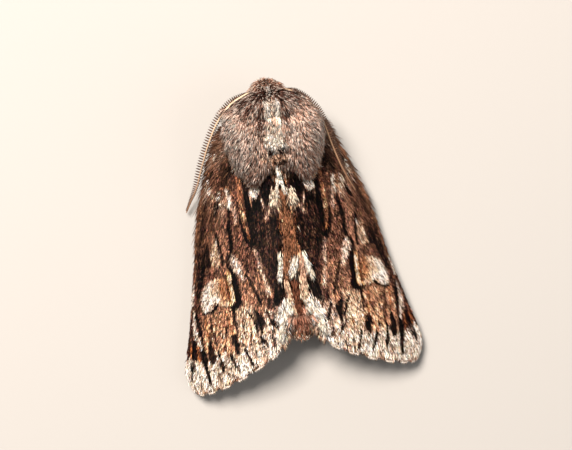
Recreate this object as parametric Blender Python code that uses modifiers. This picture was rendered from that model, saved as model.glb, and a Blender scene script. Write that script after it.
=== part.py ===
"""A rannoch sprawler moth (Brachionycha nubeculosa), male, at rest with its wings folded, life size.

The moth faces -Y and stands on its six feet on the floor, z = 0. Every piece of the body is its own
closed solid, parted from its neighbours by a thin seam. The solids reach out to the tips of the coat.
"""

import math

import bmesh
import bpy
from mathutils import Vector

# ---------------------------------------------------------------- driving dimensions
MM = 0.001  # the lengths below are millimetres
BODY_LENGTH = 28.96  # from the tuft on the brow to the tips of the folded forewings
SEAM = 0.18  # gap between neighbouring pieces
WING_THICKNESS = 0.5
HINDWING_THICKNESS = 0.5
HINDWING_CLEARANCE = 0.45  # free height between a forewing and the hindwing folded under it
SCALLOPS = 8  # bays of the hair fringe along a forewing's outer edge
SCALLOP_DEPTH = 0.2
FOOT_RADIUS = 0.25
FOOT_HEIGHT = 0.17  # of a foot's middle line: less than its radius, so that its sole is cut flat
EYE_RADIUS = 0.75

# Lengthwise stations of the rounded pieces: (side, back, up, half width, half height).
# side is from the middle plane, back from the brow, up from the floor.
HEAD = [
    (0, 0.0, 4.1, 1.45, 1.3),
    (0, 1.1, 4.4, 1.75, 1.65),
    (0, 2.6, 4.6, 1.8, 1.8),
]
COLLAR = [
    (0, 1.0, 4.9, 2.1, 1.8),
    (0, 2.6, 5.0, 3.45, 2.6),
    (0, 4.8, 5.0, 4.4, 3.0),
]
THORAX = [
    (0, 2.5, 4.4, 2.9, 2.9),
    (0, 4.0, 4.6, 3.4, 3.5),
    (0, 6.6, 4.6, 3.3, 3.6),
    (0, 10.6, 4.4, 2.5, 2.5),
]
TEGULA = [
    (2.7, 2.1, 5.4, 1.9, 1.6),
    (2.9, 4.4, 5.6, 2.1, 2.0),
    (2.55, 7.0, 6.2, 2.2, 1.7),
    (2.3, 10.1, 6.4, 1.7, 1.1),
]
TEGULA_ROLL = 38.0  # degrees that a tegula leans down over the wing root
ABDOMEN = [
    (0, 8.2, 3.9, 2.5, 2.3),
    (0, 12.5, 3.6, 2.45, 2.2),
    (0, 18.0, 3.2, 2.2, 1.9),
    (0, 23.6, 2.8, 1.6, 1.3),
]
TAIL_TUFT = [
    (0, 20.8, 3.1, 1.7, 1.5),
    (0, 23.0, 3.2, 1.9, 1.15),
    (0, 24.9, 3.1, 1.9, 0.8),
]
PALP = [
    (0.5, 1.3, 2.2, 0.36, 0.4),
    (0.48, 0.6, 2.55, 0.38, 0.45),
    (0.42, 0.12, 3.15, 0.3, 0.45),
]

# Edges of the left forewing, as (side, back, up) along its upper surface.
COSTA = [
    (3.2, 3.5, 4.5),
    (5.1, 5.0, 3.5),
    (6.85, 8.5, 2.4),
    (8.25, 12.3, 1.75),
    (9.0, 15.7, 1.5),
    (9.75, 19.0, 1.35),
    (10.5, 22.0, 1.25),
    (11.3, 25.2, 1.15),
    (11.6, 26.9, 1.1),
    (11.2, 28.6, 1.05),
]
DORSUM = [
    (2.6, 5.6, 5.9),
    (1.5, 8.4, 6.5),
    (0.55, 11.0, 6.7),
    (0.45, 14.0, 6.5),
    (0.5, 16.8, 6.1),
    (0.8, 19.6, 5.5),
    (1.2, 22.2, 5.0),
    (1.55, 24.6, 4.5),
]
TERMEN = [
    (1.55, 24.6, 4.5),
    (2.7, 26.2, 4.1),
    (4.9, 27.4, 3.3),
    (7.2, 28.4, 2.4),
    (9.3, 29.0, 1.6),
    (10.6, 29.1, 1.15),
    (11.2, 28.6, 1.05),
]
WING_ROOT = [(2.6, 5.6, 5.9), (3.0, 4.5, 5.4), (3.2, 3.5, 4.5)]
WING_CROWN = 0.75  # how far the middle of a forewing bulges above the straight line between its edges
FOREWING_GRID = (10, 24)  # faces along and across
HINDWING_SPAN = (0.2, 0.93)  # the share of the forewing's length that the hindwing lies under
HINDWING_WIDTH = (0.2, 0.8)  # and the share of its width
HINDWING_ROUNDING = 0.3  # how much shorter it is at its leading edge
HINDWING_GRID = (8, 8)

# Legs of the left side, hip to toe: femur, tibia and tarsus as (side, back, up) of their ends.
LEGS = {
    "front": ((0.7, 4.6, 1.7), (2.5, 4.1, 1.9), (2.95, 2.75, 0.7), (2.7, 1.0, FOOT_HEIGHT)),
    "middle": ((1.2, 6.3, 1.7), (4.0, 5.7, 2.3), (5.3, 6.9, 0.8), (6.1, 9.6, FOOT_HEIGHT)),
    "hind": ((1.2, 7.6, 1.6), (3.5, 9.6, 2.0), (5.4, 12.6, 0.8), (6.4, 16.4, FOOT_HEIGHT)),
}
FEMUR_RADIUS = 0.5
TIBIA_RADIUS = 0.42
LEG_JOINT_SETBACK = 0.28  # of a leg joint's rounded end from the knee it meets

# Routes of the feelers, root to tip. The left one trails beside its wing, the right one lies on it.
FEELER_ROUTES = {
    "left": [
        (1.0, 1.0, 6.15),
        (2.1, 1.1, 6.25),
        (3.7, 1.9, 5.7),
        (5.1, 3.25, 4.9),
        (6.25, 5.1, 4.0),
        (7.2, 7.1, 3.0),
        (8.05, 9.1, 2.0),
        (8.8, 10.3, 1.2),
        (9.4, 11.3, 0.6),
    ],
    "right": [
        (-1.0, 1.0, 6.15),
        (-2.1, 1.15, 6.2),
        (-3.5, 1.95, 5.7),
        (-4.8, 3.2, 5.15),
        (-5.55, 5.0, 4.6),
        (-6.0, 7.0, 4.25),
        (-6.4, 8.8, 3.85),
        (-6.8, 10.3, 3.45),
        (-7.4, 11.7, 3.0),
    ],
}
FEELER_COMB_HALF_WIDTH = 0.38  # shaft and comb teeth together, at the widest
FEELER_HALF_THICKNESS = 0.25
FEELER_RINGS = 22

COLOURS = {
    "grey_fur": (0.17, 0.12, 0.10),
    "brown_fur": (0.13, 0.085, 0.06),
    "wing_scales": (0.15, 0.10, 0.075),
    "hindwing_scales": (0.25, 0.19, 0.15),
    "feeler_horn": (0.42, 0.27, 0.14),
    "leg_fur": (0.12, 0.085, 0.065),
    "eye": (0.012, 0.009, 0.008),
}


# ---------------------------------------------------------------- helpers
def at(side, back, up):
    """A point of the moth in metres: side of the middle plane, back from the brow, up from the floor."""
    return Vector((side, back - BODY_LENGTH / 2, up)) * MM


def clear_scene():
    for thing in list(bpy.data.objects):
        bpy.data.objects.remove(thing, do_unlink=True)


def collection(name):
    made = bpy.data.collections.new(name)
    bpy.context.scene.collection.children.link(made)
    return made


def material(name, roughness):
    made = bpy.data.materials.new(name)
    made.use_nodes = True
    shader = made.node_tree.nodes["Principled BSDF"]
    shader.inputs["Base Color"].default_value = (*COLOURS[name], 1.0)
    shader.inputs["Roughness"].default_value = roughness
    made.diffuse_color = (*COLOURS[name], 1.0)
    return made


def add_object(name, data, home, finish=None):
    """Links a new object and gives it its finish."""
    made = bpy.data.objects.new(name, data)
    home.objects.link(made)
    if finish:
        data.materials.append(finish)
    return made


def along(points, share):
    """The point at this share of a smooth curve through the given points (Catmull-Rom)."""
    last = len(points) - 1
    place = min(max(share, 0.0), 1.0) * last
    first = min(int(place), last - 1)
    t = place - first
    p1, p2 = Vector(points[first]), Vector(points[first + 1])
    p0 = Vector(points[first - 1]) if first else 2 * p1 - p2
    p3 = Vector(points[first + 2]) if first + 2 <= last else 2 * p2 - p1
    return 0.5 * (
        2 * p1
        + (p2 - p0) * t
        + (2 * p0 - 5 * p1 + 4 * p2 - p3) * t * t
        + (3 * p1 - p0 - 3 * p2 + p3) * t**3
    )


def mirrored(points):
    """The same points on the moth's right side."""
    return [(-point[0], *point[1:]) for point in points]


def finish_mesh(bm, name, home, finish=None):
    """Turns a closed bmesh into a smooth-shaded object whose faces point outwards."""
    if bm.calc_volume(signed=True) < 0:
        bmesh.ops.reverse_faces(bm, faces=bm.faces)
    mesh = bpy.data.meshes.new(name)
    bm.to_mesh(mesh)
    bm.free()
    mesh.shade_smooth()
    return add_object(name, mesh, home, finish)


def as_cutter(cutter):
    cutter.hide_render = True
    cutter.display_type = "WIRE"
    return cutter


def cut(target, *cutters):
    """Takes the cutters away from the target."""
    for cutter in cutters:
        change = target.modifiers.new(cutter.name, "BOOLEAN")
        change.operation = "DIFFERENCE"
        change.solver = "EXACT"
        change.object = cutter


# ---------------------------------------------------------------- rounded pieces
def rounded(name, stations, home, finish=None, grow=0.0, roll=0.0, sides=16, rings=10):
    """A ball drawn out along its stations. grow swells it all over, to serve as its own cutter."""
    bm = bmesh.new()
    bmesh.ops.create_uvsphere(bm, u_segments=sides, v_segments=rings, radius=1.0)
    lean = math.radians(roll)
    lengthwise = stations[-1][1] - stations[0][1]
    for vert in bm.verts:
        across, height, share = vert.co.x, -vert.co.y, (1 + vert.co.z) / 2
        station = along([s[:3] for s in stations], share)
        girth = along([(s[3], s[4], 0) for s in stations], share)
        out_side = across * (girth.x + grow)
        out_up = height * (girth.y + grow)
        vert.co = at(
            station.x + out_side * math.cos(lean) + out_up * math.sin(lean),
            station.y + vert.co.z * math.copysign(grow, lengthwise),
            station.z - out_side * math.sin(lean) + out_up * math.cos(lean),
        )
    return finish_mesh(bm, name, home, finish)


def eye(name, side, home, finish=None, grow=0.0):
    """One of the large globes at the sides of the head."""
    bm = bmesh.new()
    bmesh.ops.create_uvsphere(bm, u_segments=16, v_segments=10, radius=(EYE_RADIUS + grow) * MM)
    bmesh.ops.translate(bm, verts=bm.verts, vec=at(side * 1.1, 1.35, 3.85))
    return finish_mesh(bm, name, home, finish)


# ---------------------------------------------------------------- wings
def wing_surface(share_out, share_across):
    """Upper surface of the left forewing. share_out runs from root to outer edge, share_across from
    the inner edge to the leading edge. The surface is spanned between the wing's four edges."""
    s, t = share_out, share_across
    inner, leading = along(DORSUM, s), along(COSTA, s)
    root, outer = along(WING_ROOT, t), along(TERMEN, t)
    corners = (
        Vector(DORSUM[0]) * (1 - s) * (1 - t)
        + Vector(COSTA[0]) * (1 - s) * t
        + Vector(DORSUM[-1]) * s * (1 - t)
        + Vector(COSTA[-1]) * s * t
    )
    point = inner * (1 - t) + leading * t + root * (1 - s) + outer * s - corners
    point.z += WING_CROWN * math.sin(math.pi * t) * min(1.0, 0.35 + s)
    return point


def fringe_reach(share_across):
    """How far the scalloped hair fringe stands beyond the outer edge, between its bays."""
    bay = abs(math.sin(math.pi * SCALLOPS * share_across))
    return SCALLOP_DEPTH * bay * math.sin(math.pi * min(1.0, 0.15 + share_across))


def wing_sheet(grid, span, width, rounding, lower, side, scalloped):
    """An open sheet over part of the wing surface, lowered by a height, on the left or right side."""
    bm = bmesh.new()
    bmesh.ops.create_grid(bm, x_segments=grid[0], y_segments=grid[1], size=0.5)
    for vert in bm.verts:
        t = width[0] + (vert.co.y + 0.5) * (width[1] - width[0])
        end = span[1] - rounding * (vert.co.y + 0.5) ** 2
        s = span[0] + (vert.co.x + 0.5) * (end - span[0])
        point = wing_surface(s, t)
        if scalloped and s > 0.999:
            outward = (point - wing_surface(0.9, t)).normalized()
            point += outward * (fringe_reach(t) - SCALLOP_DEPTH)
        vert.co = at(side * point.x, point.y, point.z - lower)
    bm.normal_update()
    if sum(face.normal.z for face in bm.faces) < 0:
        bmesh.ops.reverse_faces(bm, faces=bm.faces)
    return bm


def forewing(name, side, home, finish):
    bm = wing_sheet(FOREWING_GRID, (0, 1), (0, 1), 0.0, 0.0, side, True)
    mesh = bpy.data.meshes.new(name)
    bm.to_mesh(mesh)
    bm.free()
    mesh.shade_smooth()
    wing = add_object(name, mesh, home, finish)
    thicken(wing, WING_THICKNESS)
    return wing


def hindwing(name, side, home, finish):
    """The pale hindwing, folded away under the forewing."""
    lower = WING_THICKNESS + HINDWING_CLEARANCE
    extent = (HINDWING_SPAN, HINDWING_WIDTH, HINDWING_ROUNDING)
    bm = wing_sheet(HINDWING_GRID, *extent, lower, side, False)
    mesh = bpy.data.meshes.new(name)
    bm.to_mesh(mesh)
    bm.free()
    mesh.shade_smooth()
    wing = add_object(name, mesh, home, finish)
    thicken(wing, HINDWING_THICKNESS)
    return wing


def thicken(sheet, thickness):
    """Gives an open sheet its thickness, downwards from its upper face."""
    wall = sheet.modifiers.new("thickness", "SOLIDIFY")
    wall.thickness = thickness * MM
    wall.offset = -1.0
    wall.use_even_offset = True


# ---------------------------------------------------------------- legs and feelers
def tube(name, points, radii, home, finish=None):
    """A round limb along a smooth line through its points."""
    curve = bpy.data.curves.new(name, "CURVE")
    curve.dimensions = "3D"
    curve.bevel_depth = MM
    curve.bevel_resolution = 2
    curve.use_fill_caps = True
    curve.resolution_u = 1
    spline = curve.splines.new("POLY")
    spline.points.add(len(points) - 1)
    for knot, point, radius in zip(spline.points, points, radii):
        knot.co = (*at(*point), 1.0)
        knot.radius = radius
    return add_object(name, curve, home, finish)


def meshed(obj, home):
    """The same object as a closed mesh, with a curve's loose caps welded on."""
    graph = bpy.context.evaluated_depsgraph_get()
    mesh = bpy.data.meshes.new_from_object(obj.evaluated_get(graph))
    name, finish = obj.name, obj.data.materials[0]
    bpy.data.objects.remove(obj)
    mesh.name = name
    mesh.materials.clear()
    bm = bmesh.new()
    bm.from_mesh(mesh)
    bmesh.ops.remove_doubles(bm, verts=bm.verts, dist=0.001 * MM)
    bm.to_mesh(mesh)
    bm.free()
    return add_object(name, mesh, home, finish)


def flatten_sole(foot):
    """Cuts a foot off level with the floor, so that it stands on a flat."""
    bm = bmesh.new()
    bm.from_mesh(foot.data)
    everything = list(bm.verts) + list(bm.edges) + list(bm.faces)
    bmesh.ops.bisect_plane(
        bm, geom=everything, plane_co=(0, 0, 0), plane_no=(0, 0, -1), clear_outer=True
    )
    bmesh.ops.holes_fill(bm, edges=[edge for edge in bm.edges if edge.is_boundary])
    bm.to_mesh(foot.data)
    bm.free()


def joint(start, end, radii):
    """Points and radii of one joint of a leg, its ends tapered and set back from the knees."""
    start, end = Vector(start), Vector(end)
    step = (end - start).normalized() * LEG_JOINT_SETBACK
    first, last = start + step, end - step
    shares = (0.0, 0.08, 0.3, 0.65, 0.92, 1.0)
    near, middle, far = radii
    widths = (0.55 * near, near, middle, 0.9 * middle, far, 0.55 * far)
    return [first.lerp(last, share) for share in shares], widths


def foot_line(ankle, toe):
    """The tarsus comes down from the ankle and lies flat along the floor from there to the claws."""
    ground = ankle.lerp(toe, 0.25)
    ground.z = toe.z
    top = ankle.lerp(ground, LEG_JOINT_SETBACK / (ankle - ground).length)
    line = [top, top.lerp(ground, 0.4), ground, ground.lerp(toe, 0.5), ground.lerp(toe, 0.9), toe]
    widths = [share * FOOT_RADIUS for share in (0.6, 1.0, 1.0, 1.0, 1.0, 0.6)]
    return line, widths


def leg(pair, side, home, finish, body_cutter):
    """Femur, tibia and tarsus of one leg, each its own solid."""
    where = "left" if side > 0 else "right"
    hip, knee, ankle, toe = (Vector((side * p[0], p[1], p[2])) for p in LEGS[pair])
    thigh_line = joint(hip, knee, (FEMUR_RADIUS, FEMUR_RADIUS, 0.32))
    femur = meshed(tube(f"femur_{pair}_{where}", *thigh_line, home, finish), home)
    cut(femur, body_cutter)
    shin_line = joint(knee, ankle, (0.3, TIBIA_RADIUS, 0.27))
    tube(f"tibia_{pair}_{where}", *shin_line, home, finish)
    foot = meshed(tube(f"tarsus_{pair}_{where}", *foot_line(ankle, toe), home, finish), home)
    flatten_sole(foot)


def feeler(name, route, home, finish):
    """A feeler as the flat outline of its shaft and the comb teeth on both sides of it."""
    sides = 8
    bm = bmesh.new()
    rings = []
    for i in range(FEELER_RINGS + 1):
        share = i / FEELER_RINGS
        centre = along(route, share)
        heading = along(route, min(share + 0.01, 1.0)) - along(route, max(share - 0.01, 0.0))
        outward = heading.cross(Vector((0, 0, 1))).normalized()
        upward = outward.cross(heading).normalized()
        comb = FEELER_COMB_HALF_WIDTH * math.sin(math.pi * min(0.5, 0.12 + share * 1.6))
        half_width = max(FEELER_HALF_THICKNESS, comb * (1 - 0.55 * share**2))
        ring = []
        for k in range(sides):
            turn = 2 * math.pi * (k + 0.5) / sides
            point = centre + outward * half_width * math.cos(turn)
            point += upward * FEELER_HALF_THICKNESS * math.sin(turn)
            ring.append(bm.verts.new(at(*point)))
        rings.append(ring)
    for ring, following in zip(rings, rings[1:]):
        for k in range(sides):
            bm.faces.new((ring[k], ring[k - 1], following[k - 1], following[k]))
    bm.faces.new(rings[0])
    bm.faces.new(rings[-1][::-1])
    return finish_mesh(bm, name, home, finish)


# ---------------------------------------------------------------- the moth
def build():
    clear_scene()
    moth, cutters = collection("moth"), collection("cutters")
    finishes = {
        "grey_fur": material("grey_fur", 0.85),
        "brown_fur": material("brown_fur", 0.85),
        "wing_scales": material("wing_scales", 0.8),
        "hindwing_scales": material("hindwing_scales", 0.8),
        "feeler_horn": material("feeler_horn", 0.5),
        "leg_fur": material("leg_fur", 0.85),
        "eye": material("eye", 0.12),
    }

    def swollen(name, stations, **options):
        return as_cutter(rounded(name + "_room", stations, cutters, grow=SEAM, **options))

    head_room = swollen("head", HEAD)
    thorax_room = swollen("thorax", THORAX)
    collar_room = swollen("collar", COLLAR)
    abdomen_room = swollen("abdomen", ABDOMEN)

    head = rounded("head", HEAD, moth, finishes["brown_fur"])
    cut(head, thorax_room)
    rounded("thorax", THORAX, moth, finishes["grey_fur"])
    collar = rounded("collar", COLLAR, moth, finishes["grey_fur"])
    cut(collar, thorax_room, head_room)
    abdomen = rounded("abdomen", ABDOMEN, moth, finishes["brown_fur"])
    cut(abdomen, thorax_room)
    tail = rounded("tail_tuft", TAIL_TUFT, moth, finishes["brown_fur"])
    cut(tail, abdomen_room)

    for where, side in (("left", 1), ("right", -1)):
        shaped = (lambda points: points) if side > 0 else mirrored
        eye("eye_" + where, side, moth, finishes["eye"])
        eye_room = as_cutter(eye(f"eye_{where}_room", side, cutters, grow=SEAM))
        cut(head, eye_room)
        cut(collar, eye_room)
        palp = rounded("palp_" + where, shaped(PALP), moth, finishes["brown_fur"], sides=10, rings=8)
        cut(palp, head_room)
        tilt = side * TEGULA_ROLL
        tegula = rounded("tegula_" + where, shaped(TEGULA), moth, finishes["grey_fur"], roll=tilt)
        cut(tegula, thorax_room, collar_room)
        tegula_room = swollen("tegula_" + where, shaped(TEGULA), roll=tilt)
        front = forewing("forewing_" + where, side, moth, finishes["wing_scales"])
        cut(front, thorax_room, collar_room, tegula_room)
        back = hindwing("hindwing_" + where, side, moth, finishes["hindwing_scales"])
        cut(back, thorax_room, abdomen_room, tegula_room)
        for pair in LEGS:
            leg(pair, side, moth, finishes["leg_fur"], thorax_room)
        feeler("antenna_" + where, FEELER_ROUTES[where], moth, finishes["feeler_horn"])


build()
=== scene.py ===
# %% [markdown]
# # A rannoch sprawler moth at rest
# This lesson dresses the plain solids of a male moth with its skin, its fur and the scales of its
# wings. The solids are loaded as a fixed frame, in metres, with the head towards -Y, the moth's left
# side at +X and the floor at z = 0. Everything that follows is built around them, so nothing has to
# be fitted by eye.

import math

import bpy
import numpy as np
from mathutils import Matrix, Vector
from mathutils.bvhtree import BVHTree


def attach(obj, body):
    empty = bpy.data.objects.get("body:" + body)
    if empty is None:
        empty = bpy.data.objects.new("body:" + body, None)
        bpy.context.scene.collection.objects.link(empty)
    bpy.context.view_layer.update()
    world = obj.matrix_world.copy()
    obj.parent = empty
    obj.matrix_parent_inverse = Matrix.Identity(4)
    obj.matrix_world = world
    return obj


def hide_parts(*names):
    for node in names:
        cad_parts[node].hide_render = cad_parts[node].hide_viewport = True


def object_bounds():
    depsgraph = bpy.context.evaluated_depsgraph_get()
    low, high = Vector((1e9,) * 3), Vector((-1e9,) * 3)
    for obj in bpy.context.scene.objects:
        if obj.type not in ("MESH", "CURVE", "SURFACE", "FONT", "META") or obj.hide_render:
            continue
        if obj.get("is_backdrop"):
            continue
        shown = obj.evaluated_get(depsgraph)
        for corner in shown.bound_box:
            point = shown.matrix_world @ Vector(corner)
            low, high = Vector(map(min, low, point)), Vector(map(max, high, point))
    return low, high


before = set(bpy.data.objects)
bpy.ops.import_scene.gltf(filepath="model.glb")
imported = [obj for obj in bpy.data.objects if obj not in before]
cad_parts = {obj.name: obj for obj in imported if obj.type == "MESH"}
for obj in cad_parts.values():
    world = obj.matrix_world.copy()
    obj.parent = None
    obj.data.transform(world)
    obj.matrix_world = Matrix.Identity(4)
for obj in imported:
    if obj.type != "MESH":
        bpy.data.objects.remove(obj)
cad_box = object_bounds()
print("solids loaded:", len(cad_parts), "nodes")

# %% [markdown]
# ## The moth's own measures
# A moth is easiest to lay out as an entomologist pins it: how far a place is to the side of the
# middle plane, how far back it lies from the brow, and how high it is above the floor, in
# millimetres. One helper turns such places into the scene's metres. The same four edges that shape
# a forewing in the solid are repeated here, because the fine wing has to lie inside it.

# %% Measures and the places on the moth
MM = 0.001
BODY_LENGTH = 28.96
WING_LENGTH = 24.5
SIDES = (("left", 1), ("right", -1))
chance = np.random.default_rng(7)

COSTA = [(3.2, 3.5, 4.5), (5.1, 5.0, 3.5), (6.85, 8.5, 2.4), (8.25, 12.3, 1.75), (9.0, 15.7, 1.5),
         (9.75, 19.0, 1.35), (10.5, 22.0, 1.25), (11.3, 25.2, 1.15), (11.6, 26.9, 1.1),
         (11.2, 28.6, 1.05)]
DORSUM = [(2.6, 5.6, 5.9), (1.5, 8.4, 6.5), (0.55, 11.0, 6.7), (0.45, 14.0, 6.5), (0.5, 16.8, 6.1),
          (0.8, 19.6, 5.5), (1.2, 22.2, 5.0), (1.55, 24.6, 4.5)]
TERMEN = [(1.55, 24.6, 4.5), (2.7, 26.2, 4.1), (4.9, 27.4, 3.3), (7.2, 28.4, 2.4), (9.3, 29.0, 1.6),
          (10.6, 29.1, 1.15), (11.2, 28.6, 1.05)]
WING_ROOT = [(2.6, 5.6, 5.9), (3.0, 4.5, 5.4), (3.2, 3.5, 4.5)]
WING_CROWN = 0.75


def to_scene(places):
    """Places on the moth (side, back, up in mm) as points of the scene in metres."""
    return (np.asarray(places, float) - (0, BODY_LENGTH / 2, 0)) * MM


def to_moth(points):
    """Points of the scene as side, back and up on the moth, in mm."""
    return np.asarray(points, float) / MM + (0, BODY_LENGTH / 2, 0)


def smooth_step(low, high, value):
    """0 up to low, 1 from high on, with a soft rise between; falls if high is the lower one."""
    share = np.clip((value - low) / (high - low), 0, 1)
    return share * share * (3 - 2 * share)


def blend(first, second, share):
    """Mixes colours or places with another, one share for each row."""
    return first + (second - first) * np.asarray(share)[..., None]


def layered(colour, *layers):
    """Lays tints over a colour, the later over the earlier, each with its share."""
    for tint, share in layers:
        colour = blend(colour, tint, share)
    return colour


def unit(vectors):
    """The same directions, each of length 1."""
    return vectors / np.maximum(np.linalg.norm(vectors, axis=-1, keepdims=True), 1e-9)


# %% [markdown]
# ## The surface of a forewing
# A folded forewing is a gently arched sheet between its four edges: costa (leading), dorsum (inner),
# termen (outer) and root. A Coons patch spans such a sheet from the edges alone, and gives every
# place on the wing two shares: outward from root to termen, and across from dorsum to costa. The
# membrane, the veins, every scale and every marking are then laid out with those two shares, so that
# they all belong to the same wing.

# %% The wing surface
def along(points, share):
    """Places at these shares of a smooth curve through the given points (Catmull-Rom)."""
    points = np.asarray(points, float)
    padded = np.vstack([2 * points[0] - points[1], points, 2 * points[-1] - points[-2]])
    place = np.clip(share, 0, 1) * (len(points) - 1)
    first = np.minimum(place.astype(int), len(points) - 2)
    t = (place - first)[..., None]
    p0, p1, p2, p3 = (padded[first + k] for k in range(4))
    return 0.5 * (2 * p1 + (p2 - p0) * t + (2 * p0 - 5 * p1 + 4 * p2 - p3) * t**2
                  + (3 * p1 - p0 - 3 * p2 + p3) * t**3)


def wing_surface(out, across):
    """Side, back and up of the left forewing's upper face at these shares, in mm."""
    out, across = np.broadcast_arrays(np.asarray(out, float), np.asarray(across, float))
    s, t = out[..., None], across[..., None]
    edges = (along(DORSUM, out) * (1 - t) + along(COSTA, out) * t
             + along(WING_ROOT, across) * (1 - s) + along(TERMEN, across) * s)
    corners = (np.array(DORSUM[0]) * (1 - s) * (1 - t) + np.array(COSTA[0]) * (1 - s) * t
               + np.array(DORSUM[-1]) * s * (1 - t) + np.array(COSTA[-1]) * s * t)
    place = edges - corners
    place[..., 2] += WING_CROWN * np.sin(np.pi * across) * np.minimum(1.0, 0.35 + out)
    return place


def wing_frame(out, across, side):
    """Place, outward direction and upward normal on a forewing, for the left (1) or right (-1)."""
    step = 0.004
    mirror = np.array([side, 1.0, 1.0])
    place = wing_surface(out, across) * mirror
    ahead = (wing_surface(np.minimum(out + step, 1), across)
             - wing_surface(np.maximum(out - step, 0), across)) * mirror
    beside = (wing_surface(out, np.minimum(across + step, 1))
              - wing_surface(out, np.maximum(across - step, 0))) * mirror
    ahead = unit(ahead)
    return place, ahead, unit(np.cross(beside, ahead) * side)


print("middle of the left forewing:", np.round(wing_surface(0.5, 0.5), 2), "mm")

# %% [markdown]
# ## Camera, floor and light
# The moth is looked at from almost straight above with a long lens, its head a little to the left
# of upright.

# %% Camera
CAMERA_DISTANCE = 0.151
turn, lean = math.radians(8.8), math.radians(3.3)
towards = Vector((math.sin(lean), 0, math.cos(lean)))
upwards = Vector((-math.sin(turn), -math.cos(turn), 0))
upwards = (upwards - upwards.dot(towards) * towards).normalized()
rightwards = upwards.cross(towards)
aim = Vector(to_scene([(0.03, 14.02, 4.5)])[0])
bpy.ops.object.camera_add(location=aim + towards * CAMERA_DISTANCE)
camera = bpy.context.object
camera.name = "Camera"
camera.rotation_euler = Matrix((rightwards, upwards, towards)).transposed().to_euler()
camera.data.lens = 100
camera.data.sensor_width = 36
camera.data.clip_start = 0.005
bpy.context.scene.camera = camera
print("camera turned by", [round(math.degrees(angle), 1) for angle in camera.rotation_euler], "degrees")

# %% [markdown]
# A pale sheet of card carries the moth. A soft lamp stands ahead of it on its left, a much weaker
# one behind it on its right, and a pale sky fills in the rest. That gentle shade lets fur read as fur.

# %% Floor and lamps
bpy.ops.mesh.primitive_plane_add(size=1.6, location=(0, 0, 0))
floor = bpy.context.object
floor.name = "floor"
floor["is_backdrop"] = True
card = bpy.data.materials.new("pale_card")
card.use_nodes = True
card.node_tree.nodes["Principled BSDF"].inputs["Base Color"].default_value = (0.44, 0.425, 0.405, 1)
card.node_tree.nodes["Principled BSDF"].inputs["Roughness"].default_value = 0.9
floor.data.materials.append(card)

for name, place, size, power, colour in (
    ("key", (0.10, -0.17, 0.30), 0.15, 3.0, (1.0, 0.915, 0.84)),
    ("fill", (-0.26, 0.10, 0.22), 0.3, 0.3, (1.0, 0.98, 0.96)),
):
    bpy.ops.object.light_add(type="AREA", location=place)
    lamp = bpy.context.object
    lamp.name = name
    lamp.data.size = size
    lamp.data.energy = power
    lamp.data.color = colour
    lamp.rotation_euler = (-Vector(place)).to_track_quat("-Z", "Y").to_euler()

sky = bpy.data.worlds.new("pale_sky")
sky.use_nodes = True
sky.node_tree.nodes["Background"].inputs["Color"].default_value = (1.0, 0.96, 0.93, 1)
sky.node_tree.nodes["Background"].inputs["Strength"].default_value = 0.2
bpy.context.scene.world = sky
bpy.context.scene.view_settings.view_transform = "Standard"

# %% [markdown]
# ## The markings of the wings
# The sprawler's forewing is bark-like: brown-black in its inner field, tan beyond the big kidney
# mark, chalky towards the edge, with black wedges and thin dark lines along the veins. Each marking
# is drawn as a soft-edged patch or stroke with a name, in millimetres to the side and back, the way
# a field guide describes them. The same function colours the membrane and every single scale, so
# skin and coat always agree.

# %% Soft patches, strokes and a lumpy field
DARK_SUM = 160  # a tint whose three parts add up to less counts as dark


def lumps(u, v, seed):
    """A smooth random field between -1 and 1, about one lump to a unit."""
    cell_u, cell_v = np.floor(u), np.floor(v)
    fu, fv = u - cell_u, v - cell_v
    fu, fv = fu * fu * (3 - 2 * fu), fv * fv * (3 - 2 * fv)

    def corner(du, dv):
        turn = np.sin((cell_u + du) * 127.1 + (cell_v + dv) * 311.7 + seed * 74.7) * 43758.5453
        return turn - np.floor(turn)

    near = corner(0, 0) * (1 - fu) + corner(1, 0) * fu
    far = corner(0, 1) * (1 - fu) + corner(1, 1) * fu
    return (near * (1 - fv) + far * fv) * 2 - 1


def to_line(x, y, start, end):
    """How far places are from a straight line between two points, and at which share of it."""
    dx, dy = end[0] - start[0], end[1] - start[1]
    share = np.clip(((x - start[0]) * dx + (y - start[1]) * dy) / (dx * dx + dy * dy), 0, 1)
    return np.hypot(x - start[0] - share * dx, y - start[1] - share * dy), share


def patch(x, y, corners, soft):
    """1 inside a many-sided patch, 0 outside, changing over a soft edge."""
    nearest, inside = np.full(x.shape, 1e9), np.zeros(x.shape, bool)
    for (ax, ay), (bx, by) in zip(corners, corners[1:] + corners[:1]):
        nearest = np.minimum(nearest, to_line(x, y, (ax, ay), (bx, by))[0])
        if by != ay:
            inside ^= ((ay > y) != (by > y)) & (x < ax + (y - ay) * (bx - ax) / (by - ay))
    return smooth_step(-soft, soft, np.where(inside, nearest, -nearest))


def stroke(x, y, points, soft, wider=0.02):
    """The same for a stroke along points (side, back, half width)."""
    depth = np.full(x.shape, -1e9)
    for start, end in zip(points, points[1:]):
        gap, share = to_line(x, y, start, end)
        depth = np.maximum(depth, start[2] + (end[2] - start[2]) * share + wider - gap)
    return smooth_step(-soft, soft, depth)


def plain(colour, count):
    """The same colour for count places."""
    return np.tile(np.array(colour, float), (count, 1))


def with_strokes(colour, marks, x, y, cover=1.0, dark_wider=0.02):
    """Lays strokes on a colour, the later over the earlier; dark ones may be drawn wider."""
    for _, tint, strength, soft, points in marks:
        wider = dark_wider if sum(tint) < DARK_SUM else 0.02
        colour = blend(colour, tint, strength * cover * stroke(x, y, points, soft, wider))
    return colour


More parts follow.
